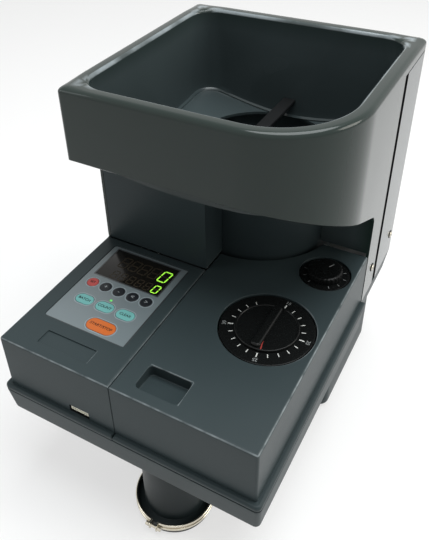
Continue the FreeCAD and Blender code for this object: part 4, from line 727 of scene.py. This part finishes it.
STEP, FIFTEEN, TICK_IN, FIGURES_OUT = 16.4, 83.0, 30.8, 38.9
ticks = []
for i in range(20):
    far, half = (35.6, 0.6) if i % 5 == 0 else (34.8, 0.42)
    ticks.append(mark(DIAL_AT, FIFTEEN - STEP * i, (TICK_IN, far), half, PLATE_TOP))
dress(mesh_piece("scale_ticks", ticks), white_ink, "panel_print")
for number in (15, 20, 25, 30):
    angle = FIFTEEN - STEP * (number - 15)
    spot = polar(DIAL_AT, FIGURES_OUT, angle)
    figure = flat_words(f"scale_{number}", str(number), spot, 5.0, PLATE_TOP + 0.03, angle - 90)
    dress(figure, faint_ink, "panel_print")

KNOB_LOW, KNOB_TOP, FIN_TOP = 185.5, 188.0, 190.5
KNOB_OUT, POINTER = 29.4, -77.0
DISH = ((27.6, KNOB_TOP), (27.2, KNOB_TOP - 0.5), (12.0, KNOB_TOP - 0.6))


def knob_ring(z, grow):
    return disc(DIAL_AT, KNOB_OUT + grow, z, 120)


knob = mesh_piece("diameter_grip", [skin(
    edge_down(knob_ring, KNOB_LOW, 0.3, 3) + edge_up(knob_ring, KNOB_TOP, 0.9, 6)
    + [disc(DIAL_AT, radius, z, 120) for radius, z in DISH])])
FIN_X, FIN_Y = (DIAL_AT[0] - 4.5, DIAL_AT[0] + 4.5), (DIAL_AT[1] - 27.05, DIAL_AT[1] + 27.05)
carve(knob, added=[soft_top(FIN_X, FIN_Y, 3.0, (KNOB_LOW + 1.0, FIN_TOP), 2.2, 7)])
dress(knob, dial_black, "black_plastic", ["diameter_knob"], "diameter_knob")
pointer = mesh_piece("pointer_line", [mark(DIAL_AT, POINTER, (15.6, 27.0), 0.6, KNOB_TOP - 0.5, 0.06),
                                      mark(DIAL_AT, POINTER, (27.0, 28.4), 0.6, KNOB_TOP, 0.04)])
dress(pointer, red_ink, "key_red", body="diameter_knob")

# THICKNESS DIAL
# A smaller black plate and a fluted knob whose screw raises the gate. A pale line on the knob's top
# and a ring of short marks on the plate show the thickness.
small_plate = mesh_piece("thickness_plate", [turned(THICK_AT, [
    (3.55, PLATE_LOW), (23.6, PLATE_LOW), (24.1, 183.6), (24.1, 184.6), (23.8, 185.0), (23.2, PLATE_TOP),
    (3.55, PLATE_TOP)], 96)])
carve(small_plate, added=[rod((THICK_AT[0], THICK_AT[1] + side * 19.1), 2.5, POST_Z, 20) for side in (-1, 1)])
dress(small_plate, dial_black, "black_plastic", ["thickness_dial"])
small_ticks = [mark(THICK_AT, angle, (18.4, 21.4), 0.3, PLATE_TOP) for angle in range(-60, 241, 30)]
dress(mesh_piece("thickness_ticks", small_ticks), faint_ink, "panel_print")


def fluted(middle, radius, z, depth, count=24, points=192):
    """A level loop whose radius dips evenly round the circle, as on a grip."""
    turn = np.linspace(0, 2 * np.pi, points, endpoint=False)
    reach = radius - depth * (0.5 - 0.5 * np.cos(turn * count)) ** 2
    return lift(np.array(middle) + reach[:, None] * circle(points), z)


SMALL_TOP = 192.5
GRIP = [(3.5, 160.3, 0.0), (3.5, KNOB_LOW, 0.0), (16.6, KNOB_LOW, 0.55), (17.0, KNOB_LOW + 0.5, 0.55),
        (17.0, SMALL_TOP - 1.9, 0.55), (16.6, SMALL_TOP - 0.9, 0.4), (15.6, SMALL_TOP - 0.2, 0.2),
        (14.4, SMALL_TOP, 0.0), (11.5, SMALL_TOP - 0.2, 0.0), (4.0, SMALL_TOP - 0.3, 0.0)]
small_knob = mesh_piece("thickness_grip", [skin([fluted(THICK_AT, *level) for level in GRIP])])
dress(small_knob, dial_black, "black_plastic", ["thickness_knob"], "thickness_knob")
small_line = mesh_piece("thickness_line", [mark(THICK_AT, 60.0, (4.5, 11.0), 0.5, SMALL_TOP - 0.28, 0.15)])
dress(small_line, faint_ink, "panel_print", body="thickness_knob")

# HOPPER
# The deep coin hopper, one glossy moulding: an outer skirt whose lower edge slopes down to its legs,
# a rolled rim, and a bucket whose floor is a shallow cone round the feed opening.


def rubbed_hopper():
    """Glossy hopper plastic, paler inside, partly where the coins rub it and partly as a painted reflection,
    and with a painted highlight along the inner edge of the rim. How far a spot is paler inside or lit on the
    rim is written on the mesh as two attributes."""
    made = Finish("hopper_gloss", coat_weight=0.3, coat_roughness=0.05, specular_ior_level=0.16)
    sheen_and_wear, rim_highlight = (made.node("ShaderNodeAttribute", {"attribute_name": word}, {}, "Fac")
                        for word in ("sheen_and_wear", "rim_highlight"))
    cloud = made.noise(9.0, 3.0)
    patchy = made.ramp(made.noise(26.0, 3.0), (0.35, 0.62), (0.2, 1.0))
    tone = made.mix(cloud, (0.0120, 0.0215, 0.0185, 1), (0.0150, 0.0255, 0.0220, 1))
    inside = made.mix(sheen_and_wear, tone, made.mix(cloud, (0.036, 0.048, 0.050, 1), (0.050, 0.066, 0.069, 1)))
    return made.set(base_color=made.mix(rim_highlight * patchy * 0.7, inside, (0.30, 0.34, 0.36, 1)),
                    roughness=cloud * 0.08 + sheen_and_wear * 0.10 + 0.12, normal=made.grain(0.006)).material


HOP_X, HOP_Y, HOP_TOP = (-BODY_OUT, BODY_OUT), (-61.925, BACK), 378.0
SKIRT_LOW, NOTCH_Y, NOTCH_Z, NOTCH_ROUND = 305.0, 79.075, 233.5, 14.0
LEFT_LEG, CLOSE = -16.4, 0.05
SLOPE = (SKIRT_LOW - NOTCH_Z) / (NOTCH_Y - HOP_Y[0])
TIGHT, WIDE = 5.0, 86.0


def skirt_path():
    """The hopper's outline from the front left corner round to it again, as x, y and the outward
    direction, and the height of the skirt's lower edge at each point: straight sides, four round
    corners, and two close points where the lower edge drops along a leg."""
    def corner(middle, radius, start, steps):
        turn = np.radians(np.linspace(start, start + 90, steps))
        out = np.column_stack([np.cos(turn), np.sin(turn)])
        return np.hstack([np.array(middle) + radius * out, out])

    def straight(a, b, out, steps):
        share = np.linspace(0, 1, steps + 2)[1:-1, None]
        spots = np.array(a) * (1 - share) + np.array(b) * share
        return np.column_stack([spots, np.broadcast_to(out, spots.shape)])

    def side_wall(x, y):
        return np.column_stack(np.broadcast_arrays(x, y, np.sign(x), 0.0))

    (x0, x1), (y0, y1) = HOP_X, HOP_Y
    lean = math.atan(SLOPE)
    tangent = NOTCH_ROUND * math.tan((math.pi / 2 - lean) / 2)
    turn = lean + np.linspace(0, math.pi / 2 - lean, 9)
    arc_y = NOTCH_Y - NOTCH_ROUND + NOTCH_ROUND * np.sin(turn)
    arc_z = NOTCH_Z + (SLOPE * tangent - NOTCH_ROUND) * math.cos(lean) + NOTCH_ROUND * np.cos(turn)
    right_y = np.concatenate([
        np.linspace(y0 + WIDE, arc_y[0], 14)[1:-1], arc_y, [NOTCH_Y + CLOSE],
        np.linspace(NOTCH_Y + CLOSE, LEG_BACK, 10)[1:], [LEG_BACK + CLOSE],
        np.linspace(LEG_BACK + CLOSE, y1 - TIGHT, 12)[1:-1]])
    left_y = np.concatenate([
        np.linspace(y1 - TIGHT, LEG_BACK + CLOSE, 12)[1:], [LEG_BACK],
        np.linspace(LEG_BACK, LEFT_LEG + CLOSE, 20)[1:], [LEFT_LEG - CLOSE],
        np.linspace(LEFT_LEG - CLOSE, y0 + TIGHT, 8)[1:-1]])
    path = np.vstack([
        corner((x0 + TIGHT, y0 + TIGHT), TIGHT, 180, 9),
        straight((x0 + TIGHT, y0), (x1 - WIDE, y0), (0, -1), 24),
        corner((x1 - WIDE, y0 + WIDE), WIDE, 270, 41), side_wall(x1, right_y),
        corner((x1 - TIGHT, y1 - TIGHT), TIGHT, 0, 9),
        straight((x1 - TIGHT, y1), (x0 + TIGHT, y1), (0, 1), 36),
        corner((x0 + TIGHT, y1 - TIGHT), TIGHT, 90, 9), side_wall(x0, left_y)])
    x, y = path[:, 0], path[:, 1]
    low = SKIRT_LOW - SLOPE * (y - y0)
    low = np.where((x > 0) & (y >= arc_y[0]), np.interp(y, arc_y, arc_z), low)
    low = np.where((x > 0) & (y > NOTCH_Y + 0.01), LIP_LOW, low)
    low = np.where((x < 0) & (y > LEFT_LEG), DECK + 0.5, low)
    low = np.where(y > LEG_BACK + 0.01, HOP_TOP - 12.0, low)
    return path, low


path, skirt_low = skirt_path()
outward = path[:, 2:]
RIM, BUCKET_ROUND = 14.0, 25


def bucket_loop():
    """The bucket's inner outline, one point for each point of the hopper's outline: the outline moved
    in by the rim's width, with its own rounder corners."""
    x0, x1, y0, y1 = HOP_X[0] + RIM, HOP_X[1] - RIM, HOP_Y[0] + RIM, HOP_Y[1] - RIM
    inner = np.clip(path[:, :2] - outward * RIM, (x0, y0), (x1, y1))
    for corner, sign in (((x0, y0), (-1, -1)), ((x1, y1), (1, 1)), ((x0, y1), (-1, 1))):
        sign = np.array(sign)
        middle = np.array(corner) - sign * BUCKET_ROUND
        away = (inner - middle) * sign
        length = np.linalg.norm(away, axis=1, keepdims=True)
        pulled = middle + away / np.maximum(length, 1e-9) * BUCKET_ROUND * sign
        beyond = (away > 0).all(1)[:, None] & (length > BUCKET_ROUND)
        inner = np.where(beyond, pulled, inner)
    return inner


inner = bucket_loop()


def moved(share_in, z):
    """The loop at a share of the way from the outline to the bucket's inner outline."""
    return lift(path[:, :2] * (1 - share_in) + inner * share_in, z)


away = inner - np.array(DRUM_AT)
reach = np.linalg.norm(away, axis=1)
bearing = away / reach[:, None]
FUNNEL_LOW, OPENING, RUN = 270.0, 74.0, 3.2


def floor_loop(share, drop=0.0, grow=0.0):
    """A loop on the conical floor: a share of the way in from the bucket's wall to the feed opening,
    at the height of a cone that rises one for every 3.2 outwards."""
    radius = (reach + grow) * (1 - share) + OPENING * share
    return lift(np.array(DRUM_AT) + bearing * radius[:, None], FUNNEL_LOW - drop + (radius - OPENING) / RUN)


floor_edge = FUNNEL_LOW + (reach - OPENING) / RUN
WALL, HOPPER_SHARP = 3.0 / RIM, 38
rim = [moved(0.36 * (1 - math.cos(a)), HOP_TOP - 5.0 * (1 - math.sin(a)))
       for a in np.linspace(0, math.pi / 2, 7)]
rim.append(moved(0.55, HOP_TOP))
rim += [moved(0.74 + 0.26 * math.sin(a), HOP_TOP - 3.6 * (1 - math.cos(a)))
        for a in np.linspace(0.15, math.pi / 2, 6)]
fall = HOP_TOP - 8.0 - floor_edge
inside_wall = [lift(inner, floor_edge + 6.0 + fall * share) for share in (0.8, 0.5, 0.2, 0.02)]
inside_wall += [lift(inner - bearing * in_by, floor_edge + rise) for in_by, rise in ((0.9, 2.2), (3.2, 0.2))]
inside_floor = [floor_loop(share) for share in (0.08, 0.2, 0.4, 0.6, 0.8, 0.94, 1.0)]
under_floor = [floor_loop(share, 3.0, 3.0) for share in (1.0, 0.7, 0.35, 0.0)]
under_wall = [moved(share, HOP_TOP - 5.5) for share in (11.0 / RIM, WALL)]
outer_wall = [moved(WALL * share, skirt_low + rise)
              for share, rise in ((1.0, 0.5), (0.8, 0.1), (0.2, 0.05), (0.0, 0.7))]
outer_wall += [moved(0.0, skirt_low + (HOP_TOP - 6.0 - skirt_low) * share)
               for share in (0.1, 0.35, 0.65, 0.9)]
recess_panel = soft_block((-5.0, 126.0), (79.1, 82.1), 0.3, (186.6, 269.0), (0.3, 0.3), (2, 2), 3)
hopper = mesh_piece("hopper_moulding", [skin(
    outer_wall + rim + inside_wall + inside_floor + under_floor + under_wall, wrap=True)], HOPPER_SHARP)
carve(hopper, added=[recess_panel], cutters=[rod(DRUM_AT, 84.0, (150, 266.9), 160)], sharp=HOPPER_SHARP)
# Painted light on the hopper: the inside is paler for coin wear and for a painted reflection, and the rim's
# inner edge carries a painted highlight.
spots = np.array([corner.co for corner in hopper.data.vertices]) / MM
from_outline = np.linalg.norm(spots[:, None, :2] - path[None, :, :2], axis=2).min(1)
in_bucket = np.clip((from_outline - 9.0) / 4.0, 0, 1) * np.clip((HOP_TOP - 1.0 - spots[:, 2]) / 6.0, 0, 1)
on_rim = (from_outline > 11.5) & (from_outline < 15.5) & (spots[:, 2] > HOP_TOP - 2.6)
for word, amount in (("sheen_and_wear", in_bucket), ("rim_highlight", on_rim.astype(float))):
    hopper.data.attributes.new(word, "FLOAT", "POINT").data.foreach_set("value", amount)
dress(hopper, rubbed_hopper(), "hopper_grey", ["hopper"])
BAR_X, BAR_Y, BAR_Z, BAR_HALF = (-12.0, 2.0), (-47.925, 175.075), (286.0, 291.0), 7.0
bar_end = np.sqrt((OPENING + (BAR_Z[0] - FUNNEL_LOW) * RUN) ** 2 - BAR_HALF ** 2) - 0.4
bar_y = (max(BAR_Y[0], DRUM_AT[1] - bar_end), min(BAR_Y[1] - 0.3, DRUM_AT[1] + bar_end))
bar = mesh_piece("mouth_bar", [soft_block(BAR_X, bar_y, 1.2, BAR_Z, (0.6, 1.0), (3, 4), 4)])
dress(bar, black_plastic, "black_plastic", ["hopper_bar"])

# COLUMN AND FEED DRUM
# The flat panel left of the recess and the round wall of the coin drum behind it, both moulded in the
# casing's grey and left as satin as they come from the tool.
dress(nodes["tower_column"], cover_grey)
dress(nodes["feed_drum"], cover_grey)

# REAR COVER
# The back of the tower with its two rear corners, a moulding fixed by the side screws. It carries the
# vents, the mains inlet and the power switch.
REAR_FRONT, REAR_ROUND, REAR_WALL = 125.075, 5.0, 3.0


def shaded_rear():
    """Glossy rear cover whose front edge, down in the slot, is painted dull and black as the slot's shade."""
    made = Finish("rear_gloss", coat_roughness=0.06, specular_ior_level=0.15)
    # Painted shade: the faces nearest the slot turn black and dull.
    clear = made.ramp(made.axes()[1], ((REAR_FRONT + 0.1) * MM, (REAR_FRONT + 1.0) * MM), kind="SMOOTHSTEP")
    cloud = made.noise(9.0, 3.0)
    tone = made.mix(cloud, tint(SLATE, 0.8), tint(SLATE, 0.95))
    return made.set(base_color=made.mix(clear, (0.002, 0.002, 0.002, 1), tone), coat_weight=clear * 0.5,
                    roughness=cloud * 0.1 + 0.8 - clear * 0.62, normal=made.grain(0.02)).material


def rear_outline(z):
    """A level loop round a U: the outside with its two round corners, and back along the inside."""
    turn = np.radians(np.linspace(0, 90, 10))
    quarter = np.column_stack([np.cos(turn), np.sin(turn)])
    middle = np.array([HOP_X[1] - REAR_ROUND, BACK - REAR_ROUND])
    right, inner_right = (
        np.vstack([[(HOP_X[1] - inset, REAR_FRONT)], middle + (REAR_ROUND - inset) * quarter])
        for inset in (0.0, REAR_WALL))
    flip = np.array([-1, 1])
    loop = np.vstack([right, right[::-1] * flip, inner_right * flip, inner_right[::-1]])
    return lift(loop, z)


def upright_slot(x, z, y, corner):
    """Skin of a cutter that runs through the back wall: a level loop turned up on its edge."""
    face = ring(x, z, corner, 0, 0, 5, 2)
    return skin([lift(face[:, :2], depth)[:, [0, 2, 1]] for depth in y[::-1]])


rear = mesh_piece("rear_moulding", [skin([rear_outline(z) for z in (120.0, 180.0, 240.0, 300.0, 365.5)])])
THROUGH, VENT_STEP, VENT_HALF = (183, 195), 9.0, 1.5
slots = [upright_slot((VENT_STEP * i - VENT_HALF, VENT_STEP * i + VENT_HALF), (246, 316), THROUGH, 1.45)
         for i in range(-4, 5)]
openings = [prism((70.5, 97.5), THROUGH, 0.3, (131, 151)), prism((78.5, 97.5), THROUGH, 0.3, (185.5, 198.5))]
carve(rear, cutters=slots + openings)
dress(rear, shaded_rear(), "cover_grey", ["rear_cover"])
for name in ("power_inlet", "switch_frame", "power_rocker"):
    dress(nodes[name], black_plastic)

# SIDE SCREWS
# Bright pan-head screws that hold the legs and the rear cover, each with a cross recess in its head and
# a black washer under it.
HEAD = [(3.6, 128.0), (3.55, 128.6), (3.2, 129.3), (2.4, 129.8), (1.2, 130.0), (0.02, 130.0), (0.02, 128.0)]
WASHER = [(4.7, 128.0), (4.7, 128.5), (4.4, 128.7), (3.3, 128.7), (3.3, 128.0)]
screw_shells, washers, crosses = [], [], []
for side in (1, -1):
    for y, z in ((103.075, 152.0), (173.075, 149.0)):
        for profile, shells in ((HEAD, screw_shells), (WASHER, washers)):
            points, loops = turned((y, z), profile, 40)
            points = points[:, [2, 0, 1]] * np.array([side, 1, 1])
            shells.append((points, loops if side > 0 else [loop[::-1] for loop in loops]))
        for deep, wide in ((1.9, 0.42), (0.42, 1.9)):
            reach_x = tuple(sorted((side * 129.1, side * 131.0)))
            crosses.append(prism(reach_x, (y - deep, y + deep), 0.1, (z - wide, z + wide), 2, 2))
screws = mesh_piece("pan_screws", screw_shells)
carve(screws, cutters=crosses)
dress(mesh_piece("screw_washers", washers), black_plastic, "rubber_black")
dress(screws, nickel, "zinc_steel", ["side_screws"])

# FLOOR, LIGHT AND CAMERA
# A pale studio floor, a broad lamp overhead, a lamp at each side and the sky's even fill. The floor is
# whitened for rays that come straight from the camera or off a gloss, and keeps its shadow.
FLOOR_PALE, WHITENED = (0.96, 0.96, 0.955), 0.6
FLOOR_REACH, FLOOR_LOW = 6000.0, -0.2
floor_corners = np.array([(-1, -1), (1, -1), (1, 1), (-1, 1)]) * FLOOR_REACH
floor = mesh_piece("floor", [(lift(floor_corners, FLOOR_LOW), [[0, 1, 2, 3]])])
paint = Finish("floor_paint", roughness=0.9)
paint.set(base_color=paint.mix(paint.noise(3.0), tint(FLOOR_PALE, 0.99), tint(FLOOR_PALE, 1.01)))
white = paint.node("ShaderNodeEmission", {}, {"Color": (1, 1, 1, 1), "Strength": 1.0}, "Emission")
share = paint.straight_rays() * WHITENED
blend = paint.node("ShaderNodeMixShader", {}, {0: share, 1: Wire(paint, paint.shader.outputs[0]), 2: white})
paint.feed(paint.tree.nodes["Material Output"].inputs["Surface"], blend)
floor.data.materials.append(paint.material)

bpy.context.scene.world = world = bpy.data.worlds.new("studio")
world.use_nodes = True
sky = Nodes(world.node_tree)
SKY_FILL, SKY_SEEN = 0.36, 1.0
backdrop = sky.tree.nodes["Background"]
backdrop.inputs["Color"].default_value = (1.0, 0.995, 0.985, 1)
sky.feed(backdrop.inputs["Strength"],
         sky.node("ShaderNodeMix", {}, {0: sky.straight_rays(), 2: SKY_FILL, 3: SKY_SEEN}))


def aim(name, data, place, gaze, roll=0.0):
    """Stands a lamp or the camera at a place, looking along a gaze and rolled about it by degrees."""
    made = stand(name, data)
    made.location, made.rotation_mode = place, "QUATERNION"
    rolled = Matrix.Rotation(math.radians(roll), 3, "Z").to_quaternion()
    made.rotation_quaternion = Vector(gaze).to_track_quat("-Z", "Y") @ rolled
    return made


for name, place, target, size, power, colour in (
        ("overhead", (0.25, 0.15, 1.7), (0, 0, 0.2), 1.3, 28.5, (0.95, 0.985, 1.0)),
        ("side", (1.6, 0.5, 0.9), (0.05, 0.05, 0.25), 0.9, 11.0, (1.0, 0.97, 0.90)),
        ("left", (-1.4, -0.9, 1.1), (0, 0, 0.2), 0.8, 3.5, (0.95, 0.98, 1.0))):
    lamp = bpy.data.lights.new(name, "AREA")
    lamp.shape, lamp.size, lamp.energy, lamp.color = "DISK", size, power, colour
    aim(name, lamp, place, Vector(target) - Vector(place))

lens_data = bpy.data.cameras.new("view")
lens_data.sensor_width, lens_data.lens = 36.0, 43.77
lens_data.shift_x, lens_data.shift_y = 0.0361, -0.1111
EYE_AT, GAZE, ROLL = (0.2398, -0.4530, 0.6143), (-0.416, 0.702, -0.578), -1.99
bpy.context.scene.camera = aim("view", lens_data, EYE_AT, GAZE, ROLL)
bpy.context.scene.view_settings.view_transform = "Standard"
